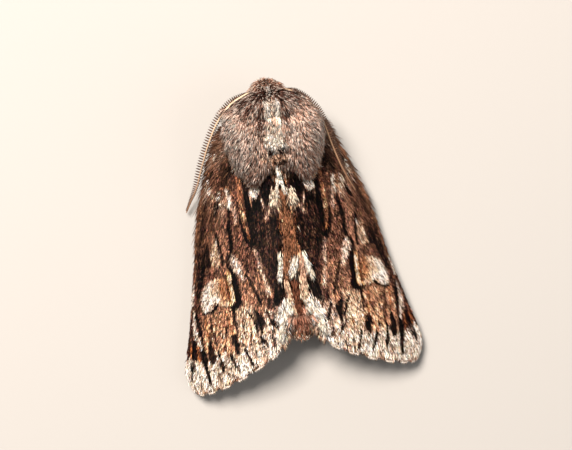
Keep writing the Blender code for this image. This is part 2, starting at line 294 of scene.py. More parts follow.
# %% [markdown]
# Colours are given as a painter would read them off (0 to 255, red, green, blue). Fields are the
# wide areas, marks are what lies on them. Each has its name, its colour, how strongly it covers, how
# soft its edge is in mm, and its outline or line; a line's third number is its half width. Their
# order matters: later ones lie on top.

# %% The forewing's fields and marks
INK, UMBER, SEPIA = (10, 5, 4), (32, 19, 15), (72, 45, 35)
BARK, FAWN, TAN = (86, 57, 45), (142, 103, 82), (196, 148, 112)
CHALK, SNOW = (232, 194, 168), (255, 232, 212)
ROSY, RUST, HAIR_BROWN = (176, 146, 130), (152, 92, 54), (108, 75, 56)
SCALLOPS = 8

WING_FIELDS = [
    ("outer half", BARK, 1.0, 0.3, [(0, 0), (13, 0), (13, 30), (0, 30)]),
    ("inner field", UMBER, 0.95, 0.35, [(0, 8.5), (3.3, 8.5), (3.4, 15.2), (2.7, 17.5), (2.3, 19.4),
     (1.0, 19.6), (0, 17.5)]),
    ("behind the dart", BARK, 0.85, 0.3, [(3.3, 15.6), (4.3, 15.2), (4.4, 18.4), (2.9, 19.2), (2.6, 17.6)]),
    ("brown shoulder", BARK, 1.0, 0.4, [(3.4, 4), (7.2, 6), (8.2, 12), (7.4, 16), (5.8, 17), (4.2, 15)]),
    ("middle ribbon", FAWN, 0.55, 0.35, [(5.7, 12.4), (6.6, 12.3), (7.6, 15.0), (7.6, 17.4), (5.9, 17.6),
     (5.6, 15)]),
    ("inner tan", (138, 98, 77), 0.9, 0.35, [(2.9, 18.0), (4.6, 17.6), (5.2, 19), (5.5, 21.4),
     (3.2, 21.6), (2.4, 19.6)]),
    ("outer tan", (184, 132, 102), 1.0, 0.35, [(5.6, 20.9), (9.1, 20.9), (9.8, 25.2), (8.4, 25.9),
     (5.4, 25.5)]),
    ("pale inner tan", (218, 174, 144), 1.0, 0.3, [(4.2, 20.9), (6.0, 20.8), (6.0, 25.4), (4.2, 25.2)]),
    ("inner corner", (210, 174, 152), 0.85, 0.4, [(1.0, 21.0), (2.3, 20.6), (4.2, 23.0), (4.6, 27.8),
     (1.4, 26.8)]),
    ("chalky edge", (255, 224, 199), 1.0, 0.3, [(1.4, 24.3), (4.2, 24.7), (6.3, 25.4), (8.0, 25.3),
     (9.4, 25.4), (10.6, 25.6), (11.2, 25.2), (12.5, 25.2), (12.5, 30), (1, 30)]),
    ("costal strip", SEPIA, 0.95, 0.25, [(7.3, 11), (8.1, 14.5), (8.7, 18), (9.2, 20.9), (9.7, 25.3),
     (12.5, 25.3), (11, 18), (9, 9)]),
]

WING_MARKS = [
    # root of the wing
    ("costa hair", HAIR_BROWN, 0.9, 0.3, [(5.3, 4.6, 0.5), (6.3, 7.0, 0.5), (7.5, 10.5, 0.45),
     (8.3, 12.8, 0.45), (8.9, 15.5, 0.25)]),
    ("rosy shoulder", ROSY, 0.75, 0.3, [(4.6, 4.6, 0.5), (4.9, 6.6, 0.4), (5.4, 7.4, 0.25)]),
    ("shoulder ink 1", INK, 0.95, 0.1, [(4.45, 6.6, 0.08), (4.3, 7.4, 0.14), (4.3, 8.3, 0.16)]),
    ("shoulder dark", UMBER, 0.8, 0.15, [(4.5, 7.9, 0.2), (4.3, 8.8, 0.25), (4.2, 9.4, 0.12)]),
    ("shoulder ink 2", INK, 0.95, 0.12, [(5.0, 7.2, 0.14), (4.85, 8.0, 0.2), (5.2, 9.2, 0.2)]),
    ("shoulder ink 3", INK, 0.9, 0.1, [(6.05, 7.6, 0.08), (6.25, 8.6, 0.14)]),
    ("shoulder white 1", SNOW, 0.9, 0.08, [(5.75, 6.9, 0.08), (5.5, 6.3, 0.1)]),
    ("shoulder white 2", SNOW, 0.9, 0.08, [(4.15, 6.05, 0.08), (4.7, 5.9, 0.1)]),
    ("costal white", SNOW, 1.0, 0.1, [(6.55, 8.7, 0.12), (6.75, 9.3, 0.2), (6.65, 9.9, 0.14)]),
    ("grey behind it", CHALK, 0.6, 0.15, [(6.35, 9.6, 0.2), (6.45, 10.6, 0.2)]),
    ("grey-white base", CHALK, 0.7, 0.25, [(5.5, 10.4, 0.3), (5.65, 11.4, 0.3), (5.75, 12.0, 0.12)]),
    ("white streak 1", SNOW, 1.0, 0.08, [(5.65, 9.8, 0.12), (5.9, 10.3, 0.2), (5.95, 10.9, 0.08)]),
    ("white streak 2", SNOW, 0.95, 0.08, [(5.05, 9.7, 0.1), (4.95, 10.5, 0.16), (5.1, 11.3, 0.08)]),
    ("tan between them", (150, 104, 78), 0.7, 0.1, [(5.3, 9.5, 0.12), (5.3, 10.8, 0.12)]),
    ("rosy streak", ROSY, 0.75, 0.12, [(4.75, 11.0, 0.2), (4.6, 12.8, 0.15)]),
    ("ink between them", INK, 0.8, 0.08, [(5.15, 11.5, 0.06), (5.2, 12.4, 0.1)]),
    ("slanting dash", INK, 1.0, 0.08, [(6.0, 10.9, 0.08), (6.25, 11.4, 0.16), (6.65, 12.0, 0.22)]),
    ("dash, brown", (150, 108, 86), 0.8, 0.08, [(6.45, 10.7, 0.1), (6.6, 11.4, 0.1)]),
    ("costa ink", INK, 0.95, 0.12, [(7.05, 10.2, 0.12), (7.3, 11.4, 0.16), (7.7, 12.6, 0.14),
     (8.1, 14.0, 0.1)]),
    ("base chalk patch", SNOW, 0.95, 0.12, [(2.35, 10.15, 0.32), (2.65, 10.5, 0.42), (2.75, 10.8, 0.2)]),
    ("ink under the patch", INK, 1.0, 0.12, [(2.3, 11.35, 0.3), (2.75, 11.6, 0.28), (2.4, 11.9, 0.2)]),
    ("patch rim, tan", TAN, 0.8, 0.06, [(3.0, 10.9, 0.06), (3.05, 11.6, 0.08)]),
    ("patch rim, pale", CHALK, 0.8, 0.06, [(2.0, 11.0, 0.06), (1.85, 12.0, 0.08)]),
    ("midline chalk", (232, 206, 180), 0.7, 0.25, [(0.8, 10.7, 0.14), (0.95, 11.8, 0.28)]),
    ("midline salt", CHALK, 0.55, 0.25, [(1.3, 12.2, 0.18), (1.7, 12.8, 0.22)]),
    ("inner base ink", INK, 0.95, 0.2, [(1.6, 9.4, 0.4), (1.7, 11.0, 0.3), (1.45, 11.8, 0.1)]),
    # the long dart
    ("dart, inner line", INK, 1.0, 0.08, [(3.33, 8.8, 0.23), (3.38, 10.5, 0.25), (3.33, 12.5, 0.24),
     (3.3, 14.0, 0.22), (3.4, 15.3, 0.16)]),
    ("dart, outer line", INK, 0.95, 0.08, [(4.15, 12.9, 0.08), (4.0, 13.8, 0.16), (3.75, 14.9, 0.24),
     (3.5, 15.5, 0.12)]),
    ("dart, filling", (120, 77, 56), 0.95, 0.1, [(3.85, 8.8, 0.16), (3.85, 11.0, 0.18),
     (3.85, 13.2, 0.16), (3.65, 14.2, 0.08)]),
    ("dart, bright heart", (226, 178, 134), 0.95, 0.06, [(3.95, 12.0, 0.08), (3.85, 12.7, 0.17)]),
    ("dart, tan fleck", TAN, 0.8, 0.06, [(3.95, 11.2, 0.07), (3.8, 11.6, 0.08)]),
    ("dart, rusty end", RUST, 0.85, 0.06, [(3.7, 14.2, 0.08), (3.6, 14.7, 0.09)]),
    ("light behind the dart", ROSY, 0.7, 0.12, [(3.3, 15.8, 0.12), (3.1, 16.6, 0.16), (2.95, 18.2, 0.12)]),
    ("midline brown", (148, 102, 74), 0.95, 0.12, [(0.3, 12.2, 0.3), (0.25, 15.0, 0.3), (0.5, 16.4, 0.45),
     (0.6, 17.4, 0.3)]),
    ("midline rust", RUST, 0.8, 0.08, [(0.75, 13.0, 0.07), (0.85, 14.0, 0.08)]),
    ("edge pink", (200, 156, 130), 0.9, 0.12, [(0.75, 17.2, 0.3), (0.85, 18.8, 0.25), (0.75, 20.6, 0.2)]),
    ("white edge streak", SNOW, 1.0, 0.08, [(1.12, 16.8, 0.1), (1.2, 17.6, 0.15), (1.5, 18.5, 0.13),
     (1.5, 19.3, 0.1)]),
    # middle of the wing
    ("middle vein", INK, 0.95, 0.08, [(5.2, 12.4, 0.06), (5.4, 13.4, 0.12), (5.35, 14.6, 0.12),
     (5.45, 15.6, 0.14)]),
    ("round mark, inner ink", INK, 0.85, 0.07, [(6.9, 13.0, 0.06), (6.65, 14.2, 0.06), (6.5, 15.4, 0.1),
     (6.45, 16.6, 0.1)]),
    ("round mark", (204, 164, 134), 0.95, 0.1, [(7.0, 14.7, 0.14), (7.05, 15.6, 0.4), (7.1, 16.5, 0.32)]),
    ("round mark, white tip", SNOW, 0.8, 0.06, [(6.75, 14.3, 0.06), (6.85, 14.9, 0.06)]),
    ("round mark, outer ink", INK, 0.85, 0.1, [(7.65, 14.6, 0.12), (7.8, 16.8, 0.14)]),
    ("pale flake", (220, 188, 168), 0.95, 0.22, [(5.5, 16.3, 0.32), (5.25, 17.1, 0.52), (4.9, 17.9, 0.24),
     (4.6, 18.5, 0.1)]),
    ("flake, dark foot", INK, 0.85, 0.1, [(5.7, 15.8, 0.1), (6.0, 16.6, 0.08), (5.9, 17.3, 0.16)]),
    ("dark line to the bar", INK, 0.85, 0.07, [(4.45, 18.1, 0.08), (4.1, 18.9, 0.08), (3.8, 19.8, 0.08),
     (3.4, 20.9, 0.08)]),
    ("pale line", CHALK, 0.7, 0.1, [(3.15, 17.0, 0.1), (3.0, 18.0, 0.12), (2.75, 19.2, 0.14),
     (2.6, 19.9, 0.1)]),
    # inner margin
    ("dark before the corner", INK, 0.95, 0.12, [(1.35, 19.4, 0.3), (1.7, 20.2, 0.42), (2.05, 21.1, 0.28)]),
    ("margin grey", CHALK, 0.7, 0.12, [(2.75, 19.2, 0.15), (2.65, 19.9, 0.2)]),
    ("margin umber", UMBER, 0.85, 0.12, [(2.55, 20.5, 0.2), (2.7, 21.4, 0.3), (2.3, 21.8, 0.15)]),
    ("white corner", (252, 244, 236), 1.0, 0.12, [(1.15, 20.8, 0.12), (1.2, 21.4, 0.45),
     (1.35, 22.0, 0.6), (1.2, 22.8, 0.4)]),
    ("white feathering", SNOW, 0.9, 0.12, [(2.0, 22.5, 0.25), (1.9, 23.4, 0.25)]),
    ("slanting line 1", INK, 0.95, 0.07, [(3.0, 22.1, 0.1), (2.7, 22.9, 0.12), (2.35, 23.5, 0.08)]),
    ("slanting line 2", INK, 0.9, 0.07, [(2.3, 22.8, 0.05), (1.85, 23.6, 0.1)]),
    ("slanting line 3", INK, 0.7, 0.06, [(1.65, 22.5, 0.05), (1.5, 23.1, 0.06)]),
    ("white behind the corner", SNOW, 0.9, 0.2, [(2.1, 24.0, 0.3), (2.3, 25.1, 0.4)]),
    ("corner spot", SEPIA, 0.8, 0.1, [(2.9, 24.6, 0.12), (2.65, 25.1, 0.15)]),
    # veins and wedges of the outer wing
    ("inner wedge", INK, 1.0, 0.1, [(3.95, 21.4, 0.12), (3.75, 22.2, 0.26), (3.65, 22.9, 0.2),
     (3.75, 23.5, 0.08)]),
    ("inner wedge, tail", INK, 1.0, 0.06, [(4.0, 23.8, 0.05), (3.8, 24.5, 0.1), (3.6, 25.0, 0.05)]),
    ("thin line", INK, 0.95, 0.05, [(4.9, 21.4, 0.05), (4.55, 22.1, 0.08), (4.2, 23.0, 0.07)]),
    ("brown spot", (124, 78, 52), 0.8, 0.1, [(4.7, 23.7, 0.1), (4.9, 24.4, 0.14)]),
    ("black vein", INK, 0.9, 0.06, [(6.1, 21.1, 0.1), (6.2, 22.0, 0.08), (6.05, 23.2, 0.06)]),
    ("rusty vein", (134, 84, 54), 0.8, 0.07, [(6.85, 21.3, 0.07), (6.6, 22.5, 0.09), (6.55, 23.4, 0.1)]),
    ("brown vein", SEPIA, 0.8, 0.06, [(7.6, 21.8, 0.05), (7.1, 22.6, 0.07), (7.05, 23.4, 0.06)]),
    ("umber vein", UMBER, 0.85, 0.06, [(8.3, 21.4, 0.06), (8.35, 22.6, 0.06), (8.2, 23.4, 0.09),
     (8.25, 24.1, 0.06)]),
    ("outer rusty vein", (128, 76, 46), 0.75, 0.08, [(8.9, 21.4, 0.08), (8.8, 23.4, 0.1)]),
    ("black fleck", INK, 0.8, 0.06, [(7.45, 24.7, 0.07), (7.4, 25.2, 0.07)]),
    ("costal black", INK, 0.95, 0.08, [(9.6, 21.3, 0.1), (9.55, 22.6, 0.12), (9.4, 23.6, 0.08)]),
    ("middle wedge", INK, 1.0, 0.08, [(6.5, 23.7, 0.16), (6.4, 24.3, 0.3), (6.2, 24.8, 0.25),
     (6.25, 25.2, 0.1)]),
    ("outer wedge", INK, 1.0, 0.08, [(8.75, 23.8, 0.08), (8.75, 24.6, 0.22), (8.75, 25.3, 0.28),
     (8.6, 25.6, 0.12)]),
    ("big wedge", (50, 24, 15), 1.0, 0.12, [(9.75, 24.3, 0.35), (10.1, 24.9, 0.6), (10.6, 24.7, 0.5),
     (10.3, 25.2, 0.3)]),
    ("big wedge, ink 1", INK, 0.95, 0.1, [(9.5, 24.0, 0.14), (9.55, 25.4, 0.2)]),
    ("big wedge, ink 2", INK, 0.9, 0.08, [(10.2, 24.0, 0.1), (10.45, 25.4, 0.12)]),
    ("big wedge, rust 1", (156, 92, 56), 0.85, 0.06, [(9.95, 23.9, 0.07), (10.1, 25.3, 0.07)]),
    ("big wedge, rust 2", (156, 92, 56), 0.8, 0.06, [(10.6, 24.2, 0.07), (10.75, 25.3, 0.07)]),
    ("edge vein 1", INK, 0.95, 0.06, [(10.45, 25.2, 0.12), (10.75, 26.1, 0.11), (10.95, 26.9, 0.06)]),
    ("edge vein 2", INK, 1.0, 0.06, [(9.5, 24.8, 0.16), (9.5, 26.4, 0.15), (9.42, 27.6, 0.1)]),
    ("edge vein 3", INK, 1.0, 0.05, [(8.15, 25.2, 0.08), (8.05, 26.0, 0.09), (7.95, 26.7, 0.09)]),
    ("edge vein 4", INK, 0.95, 0.05, [(7.0, 25.2, 0.08), (6.75, 26.2, 0.08), (6.5, 27.0, 0.08)]),
    ("edge vein 5", INK, 0.95, 0.05, [(5.55, 25.3, 0.07), (5.25, 26.0, 0.1), (5.1, 26.5, 0.07)]),
    ("apex white", SNOW, 0.95, 0.2, [(10.9, 25.6, 0.2), (11.25, 26.8, 0.2)]),
    # costal strip
    ("costal white 1", SNOW, 0.9, 0.1, [(9.6, 18.5, 0.18), (9.75, 19.4, 0.14), (9.8, 20.2, 0.08)]),
    ("costal white 2", SNOW, 0.8, 0.09, [(9.85, 21.0, 0.08), (10.0, 22.6, 0.16), (9.9, 23.6, 0.2),
     (9.6, 24.2, 0.08)]),
    ("costal white 3", SNOW, 0.85, 0.08, [(10.4, 20.6, 0.06), (10.7, 22.2, 0.12), (10.95, 23.3, 0.06)]),
    ("costal white 4", SNOW, 0.85, 0.08, [(11.0, 23.9, 0.06), (11.25, 24.6, 0.1)]),
    ("costal umber", UMBER, 0.8, 0.12, [(8.5, 15.0, 0.16), (9.0, 17.6, 0.16), (9.2, 19.6, 0.14)]),
    ("costal ink", INK, 0.85, 0.1, [(7.9, 14.8, 0.12), (8.4, 17.0, 0.14), (8.9, 18.8, 0.1)]),
    ("costal brown hair", HAIR_BROWN, 0.7, 0.1, [(8.9, 16.0, 0.12), (9.3, 18.4, 0.1)]),
]

KIDNEY = [(6.35, 18.1), (7.1, 17.95), (7.6, 18.1), (8.45, 18.55), (8.8, 19.6), (8.98, 20.9),
          (8.75, 21.1), (8.1, 20.95), (7.7, 20.45), (7.45, 20.5), (6.9, 20.7), (6.35, 20.6)]
KIDNEY_MARKS = [
    ("white lobe", (255, 240, 224), 1.0, 0.3, [(7.9, 18.4, 0.1), (8.4, 19.2, 0.25), (8.6, 20.0, 0.35),
     (8.5, 20.7, 0.35)]),
    ("white foot", (255, 240, 224), 0.95, 0.3, [(8.4, 20.0, 0.35), (7.6, 20.1, 0.25)]),
    ("pink flush", (222, 176, 144), 0.6, 0.3, [(7.6, 18.6, 0.2), (7.5, 19.2, 0.2)]),
    ("tan foot", (190, 140, 104), 0.8, 0.35, [(6.9, 19.2, 0.3), (7.0, 20.2, 0.25)]),
    ("brown heart", (142, 92, 62), 0.95, 0.3, [(6.8, 18.2, 0.3), (6.8, 19.0, 0.34), (6.6, 20.0, 0.18)]),
    ("dark line", (84, 44, 26), 0.95, 0.05, [(6.42, 18.0, 0.06), (6.38, 19.2, 0.1), (6.35, 20.3, 0.08)]),
    ("black inner edge", INK, 1.0, 0.07, [(5.8, 17.3, 0.16), (5.58, 18.2, 0.24), (5.6, 19.4, 0.25),
     (5.5, 20.3, 0.28), (5.8, 20.85, 0.2)]),
    ("black foot", INK, 1.0, 0.06, [(5.7, 20.95, 0.16), (6.4, 20.85, 0.12), (6.6, 20.7, 0.06)]),
    ("bar", (240, 178, 122), 1.0, 0.05, [(6.1, 17.5, 0.13), (6.08, 18.6, 0.19), (6.0, 19.6, 0.18),
     (6.05, 20.3, 0.19), (6.45, 20.6, 0.08)]),
    ("white of the bar", (255, 234, 208), 0.7, 0.05, [(6.05, 17.8, 0.08), (6.02, 18.8, 0.1),
     (5.95, 19.8, 0.1), (6.1, 20.4, 0.1)]),
    ("black underline", INK, 0.95, 0.06, [(7.5, 20.45, 0.06), (7.75, 20.75, 0.12), (8.2, 21.05, 0.1),
     (8.95, 21.15, 0.1)]),
]
for title, marks in (("fields", WING_FIELDS), ("marks", WING_MARKS), ("kidney mark", KIDNEY_MARKS)):
    print(f"{title}:", ", ".join(name for name, *_ in marks))

# %% [markdown]
# The drawn outlines are made ragged by lumpy noise, because scales end a marking unevenly. The
# kidney mark is sharper than the rest, so it is laid on after the dusting, and the outer edge comes
# last: dark spots between the scallops, a thin brown line and the white fringe.

# %% The colours of a forewing
def grained(colour, side_mm, back_mm, out, across):
    """Dusts a marking with clusters and streaks of darker and paler scales, finer than any mark."""
    streaks = lumps(across * 62, out * 13, 8) * (0.4 + 0.6 * smooth_step(0.55, 0.8, out))
    amount = 1 - 0.5 * smooth_step(185, 235, colour.mean(1))
    grain = amount * (0.6 * lumps(side_mm * 8, back_mm * 4, 6)
                      + 0.9 * lumps(side_mm * 13, back_mm * 8, 7) + streaks)
    return np.clip(colour * (1 + 0.42 * grain[:, None]) + grain[:, None] * (24, 16, 12), 0, 255)


def outer_edge(colour, out, across):
    """Lays on the spots, the line and the white of the fringe."""
    inland = (1 - out) * WING_LENGTH + 0.06 * lumps(across * 40, out * 3, 5)
    bay = np.abs(np.cos(np.pi * SCALLOPS * across))
    spot = smooth_step(0.5, 0.92, bay) * smooth_step(0.5, 0.7, inland) * smooth_step(1.25, 0.85, inland)
    line = smooth_step(0.38, 0.46, inland) * smooth_step(0.66, 0.56, inland)
    dash = smooth_step(0.8, 0.95, bay) * smooth_step(0.32, 0.15, inland)
    return layered(colour, ((92, 58, 44), 0.85 * spot * (across > 0.06)), ((164, 112, 84), 0.7 * line),
                   (SNOW, smooth_step(0.46, 0.36, inland)), ((150, 100, 72), 0.8 * dash))


def wing_colours(side_mm, back_mm, out, across):
    """Colours (0 to 255) of the forewing at these places. out and across are its two shares."""
    x, y = np.abs(side_mm), back_mm
    ragged_x = x + 0.05 * lumps(x * 2.3, y * 0.8, 1) + 0.035 * lumps(x * 7, y * 2.2, 2)
    ragged_y = y + 0.16 * lumps(x * 2.9, y * 0.7, 3) + 0.12 * lumps(x * 8, y * 1.9, 4)
    ragged_y += 0.5 * lumps(across * 46, out * 4, 9) * smooth_step(0.62, 0.82, out)
    colour = plain(BARK, len(x))
    for _, tint, strength, soft, corners in WING_FIELDS:
        colour = blend(colour, tint, strength * patch(ragged_x, ragged_y, corners, soft))
    colour = with_strokes(colour, WING_MARKS, ragged_x, ragged_y, dark_wider=0.06)
    streak = smooth_step(0.0, 0.5, lumps(across * 52, out * 5, 12)) * smooth_step(0.84, 0.9, out)
    colour = blend(colour, (184, 134, 106), 0.45 * streak * (colour.mean(1) > 130))
    colour = grained(colour, side_mm, y, out, across)
    kidney_x, kidney_y = (x + ragged_x) / 2, y + (ragged_y - y) / 3
    colour = blend(colour, (228, 190, 158), patch(kidney_x, kidney_y, KIDNEY, 0.08))
    colour = with_strokes(colour, KIDNEY_MARKS, kidney_x, kidney_y)
    return outer_edge(colour, out, across)


print("colour of the middle of a wing:", np.round(wing_colours(*np.array([[5.0], [15.0], [0.5], [0.4]]))[0]))

# %% [markdown]
# ## Finishes
# Scales, fur and skin are all chitin with pigment: matt to silky, never shiny like plastic. Their
# colour is carried by the mesh itself, in a colour attribute called tint, because it follows the
# markings from hair to hair. The nodes add what is finer than a hair: the ribs of a scale, the
# mottling of a membrane. The bare parts of legs and feelers are smoother horn, so they get a little
# more gloss.

# %% Materials for scales, fur, skin and horn
def joined(material, node, settings):
    """Gives a node's inputs their values, or joins them to the outputs of other nodes."""
    for name, value in settings.items():
        if isinstance(value, bpy.types.NodeSocket):
            material.node_tree.links.new(value, node.inputs[name])
        else:
            node.inputs[name].default_value = value
    return node


def added(material, kind, settings):
    """The same for a new node of this kind."""
    return joined(material, material.node_tree.nodes.new("ShaderNode" + kind), settings)


def new_material(name):
    """A material, its shader and the places its textures follow."""
    material = bpy.data.materials.new(name)
    material.use_nodes = True
    place = added(material, "TexCoord", {}).outputs["Object"]
    return material, material.node_tree.nodes["Principled BSDF"], place


def finish(name, rough, grain, depth, mottle, gloss=0.05):
    """A material that takes its colour from the tint, mottled and grained by fine noise."""
    made, shader, place = new_material(name)
    noise = added(made, "TexNoise", {"Scale": grain, "Detail": 3, "Vector": place})
    bump = added(made, "Bump", {"Distance": depth, "Strength": 0.6, "Height": noise.outputs["Fac"]})
    spots = added(made, "TexNoise", {"Scale": grain * 0.3, "Vector": place})
    level = added(made, "MapRange", {"To Min": 1 - mottle, "To Max": 1 + mottle,
                                     "Value": spots.outputs["Fac"]})
    tint = added(made, "Attribute", {})
    tint.attribute_name = "tint"
    mix = added(made, "VectorMath", {})
    mix.operation = "SCALE"
    joined(made, mix, {0: tint.outputs["Color"], "Scale": level.outputs["Result"]})
    joined(made, shader, {"Roughness": rough, "Specular IOR Level": gloss,
                          "Normal": bump.outputs["Normal"], "Base Color": mix.outputs[0]})
    return made


scale_finish = finish("wing_scale", 0.58, 26000, 0.000006, 0.12)
fur_finish = finish("moth_fur", 0.62, 22000, 0.000006, 0.1)
skin_finish = finish("moth_skin", 0.7, 9000, 0.00003, 0.25)
feeler_finish = finish("feeler_horn", 0.5, 14000, 0.00001, 0.15, gloss=0.3)
leg_finish = finish("leg_horn", 0.42, 9000, 0.00001, 0.2, gloss=0.45)
print("finishes:", [made.name for made in bpy.data.materials])

# %% [markdown]
# The compound eye is a dark polished dome of thousands of tiny lenses. A Voronoi pattern gives the
# honeycomb of lenses as a fine bump, far finer than could be modelled sensibly.

# %% Eye material
eye_finish, shader, place = new_material("eye_lenses")
lenses = added(eye_finish, "TexVoronoi", {"Scale": 26000, "Randomness": 0.35, "Vector": place})
bump = added(eye_finish, "Bump", {"Distance": 0.00001, "Height": lenses.outputs["Distance"]})
bump.invert = True
bands = added(eye_finish, "TexNoise", {"Scale": 900, "Vector": place})
ramp = added(eye_finish, "ValToRGB", {"Fac": bands.outputs["Fac"]})
for stop, position, colour in zip(ramp.color_ramp.elements, (0.35, 0.7),
                                  ((0.006, 0.004, 0.003, 1), (0.035, 0.018, 0.01, 1))):
    stop.position = position
    stop.color = colour
joined(eye_finish, shader, {"Roughness": 0.22, "Coat Weight": 0.35, "Normal": bump.outputs["Normal"],
                            "Base Color": ramp.outputs["Color"]})
print("eye material:", len(eye_finish.node_tree.nodes), "nodes")

# %% [markdown]
# ## Tools for every piece
# The same few steps come back for every piece of the moth: select it, work on it in edit mode, apply
# a modifier, tint its corners, and hand it over with its material and its place in the frame. Each
# is a small function. Tints are written as a painter's values and turned into light values here.

# %% Tools for every piece
def only(*pieces):
    """Selects these pieces and nothing else, the first one active."""
    bpy.ops.object.select_all(action="DESELECT")
    for piece in pieces:
        piece.select_set(True)
    bpy.context.view_layer.objects.active = pieces[0]


def edited(piece, *steps):
    """Takes these steps in edit mode, at first on the whole piece."""
    only(piece)
    bpy.ops.object.mode_set(mode="EDIT")
    bpy.ops.mesh.select_all(action="SELECT")
    for step in steps:
        step()
    bpy.ops.object.mode_set(mode="OBJECT")


def shaped(piece, kind, **settings):
    """Adds a modifier to a piece and applies it."""
    only(piece)
    modifier = piece.modifiers.new(kind.lower(), kind)
    for setting, value in settings.items():
        setattr(modifier, setting, value)
    bpy.ops.object.modifier_apply(modifier=modifier.name)


def linear(colours):
    """Painter's colours (0 to 255) as the light values a shader works in."""
    share = np.clip(np.asarray(colours, float) / 255, 0, 1)
    return np.where(share <= 0.04045, share / 12.92, ((share + 0.055) / 1.055) ** 2.4)


def tinted(mesh, colours):
    """Gives each corner of a mesh its tint."""
    light = np.ones((len(colours), 4), np.float32)
    light[:, :3] = linear(colours)
    mesh.color_attributes.new("tint", "FLOAT_COLOR", "POINT").data.foreach_set("color", light.ravel())


def handed_over(piece, material, slot, *solids, smooth=False):
    """Gives a piece its one material, hides the solids it replaces and hangs it on the root; slot is not
    used.
    """
    piece.data.materials.clear()
    piece.data.materials.append(material)
    if smooth:
        only(piece)
        bpy.ops.object.shade_smooth()
    if solids:
        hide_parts(*solids)
    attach(piece, "root")


print("tools for selecting, shaping, tinting and handing over are ready")

# %% [markdown]
# ## How scales and hairs are made
# A moth wears tens of thousands of scales. Blender's particle hair would be lost on export and a
# modelled scale copied by hand would never end, so one very small closed solid is worked out in
# numbers and repeated into one joined mesh: a kite of four triangles for a scale, a three-sided
# tapering spike for a hair. Every copy is turned with the lie of the coat, and each of its corners
# has a tint, so a hair can carry painted shade at its root and painted light at its tip. On the bake
# map each copy sits as a tiny patch at its root's place.

# %% Build a joined coat
KITE = np.array([(0, 3, 2), (0, 2, 1), (0, 1, 3), (1, 2, 3)])
BAKE_PATCH = 0.0013


def spike_faces(rings):
    """Triangles of a spike whose rings have three corners each and whose tip is one corner."""
    faces = [(0, 1, 2)]
    for ring in range(rings - 1):
        for side in range(3):
            near, far = 3 * ring + side, 3 * ring + (side + 1) % 3
            faces += [(near, near + 3, far + 3), (near, far + 3, far)]
    last = 3 * (rings - 1)
    faces += [(last + side, 3 * rings, last + (side + 1) % 3) for side in range(3)]
    return np.array(faces)


def joined_coat(name, places, tints, bake, slot, finish_used=fur_finish):
    """One mesh from many copies: places (copies, corners, 3) in mm, tints likewise, bake (copies, 2)."""
    copies, corners = places.shape[:2]
    is_scale = corners == 4
    faces = KITE if is_scale else spike_faces(corners // 3)
    loops = (faces[None] + corners * np.arange(copies)[:, None, None]).reshape(-1)
    triangles = len(loops) // 3
    mesh = bpy.data.meshes.new(name)
    mesh.vertices.add(copies * corners)
    mesh.vertices.foreach_set("co", to_scene(places.reshape(-1, 3)).astype(np.float32).ravel())
    mesh.loops.add(len(loops))
    mesh.loops.foreach_set("vertex_index", loops.astype(np.int32))
    mesh.polygons.add(triangles)
    mesh.polygons.foreach_set("loop_start", np.arange(0, len(loops), 3, dtype=np.int32))
    mesh.update(calc_edges=True)
    mesh.polygons.foreach_set("use_smooth", np.full(triangles, not is_scale))
    tinted(mesh, tints.reshape(-1, 3))
    round_root = np.array([(math.cos(2.4 * k), math.sin(2.4 * k)) for k in range(corners)]) * BAKE_PATCH
    where = (bake[:, None, :] + round_root[None]).reshape(-1, 2)
    mesh.uv_layers.new(name="OFBake").data.foreach_set("uv", where[loops].astype(np.float32).ravel())
    coat = bpy.data.objects.new(name, mesh)
    bpy.context.collection.objects.link(coat)
    handed_over(coat, finish_used, slot)
    print(name, triangles, "triangles in", copies, "copies")


def on_map(across, along_it):
    """Where copies sit on the bake map: two shares (0 to 1), kept off its rim."""
    return np.stack([across, along_it], 1) * 0.98 + 0.01


def shaded(colours, levels, ring=3):
    """Tints of a copy's corners: its colour times the level of each ring of corners, then of the tip; in fur
    and scales these levels are painted shade at the root and painted light at the tip.
    """
    levels = np.append(np.repeat(levels[:-1], ring), levels[-1])
    return np.clip(colours[:, None, :] * levels[None, :, None], 0, 255)


def scale_corners(place, ahead, normal, length, width, lift):
    """Root, left, tip and right of kite scales that lie along the wing, tips raised by lift."""
    beside = np.cross(ahead, normal)
    length, width, lift = (value[:, None] for value in (length, width, lift))
    middle = place + ahead * length * 0.48 + normal * (lift * 0.55 - width * 0.16)
    tip = place + ahead * length + normal * lift
    return np.stack([place, middle - beside * width / 2, tip, middle + beside * width / 2], 1)


def hair_corners(place, ahead, normal, length, width, rise, droop, rings=2):
    """Three-sided hairs that leave the skin at rise and bend over by droop (shares of length)."""
    beside = np.cross(ahead, normal)
    length, width, rise, droop = (np.broadcast_to(value, len(place))[:, None]
                                  for value in (length, width, rise, droop))
    corners = []
    for ring in range(rings):
        share = ring / rings
        middle = place + ahead * length * share + normal * length * (rise * share - droop * share**2)
        girth = width / 2 * (1.0 - 0.35 * share if ring else 0.75)
        sink = 0.0 if ring else normal * 0.06
        for angle in (math.pi / 2, math.pi * 7 / 6, math.pi * 11 / 6):
            corners.append(middle - sink + beside * girth * math.cos(angle)
                           + normal * girth * 0.55 * math.sin(angle))
    corners.append(place + ahead * length + normal * length * (rise - droop))
    return np.stack(corners, 1)


print("a hair of two rings has", len(spike_faces(2)), "triangles, one of three", len(spike_faces(3)))

# %% [markdown]
# ## One skin for the body
# Under its fur the moth is one continuous animal: head, palps, collar, thorax, shoulder tufts
# (tegulae) and abdomen have no gaps between them as the plain solids do. Copies of those solids are
# swollen until they touch, melted together by a voxel remesh, and then shrunk to where the roots of
# the fur sit, so that the tips of the fur reach the size the solids give.

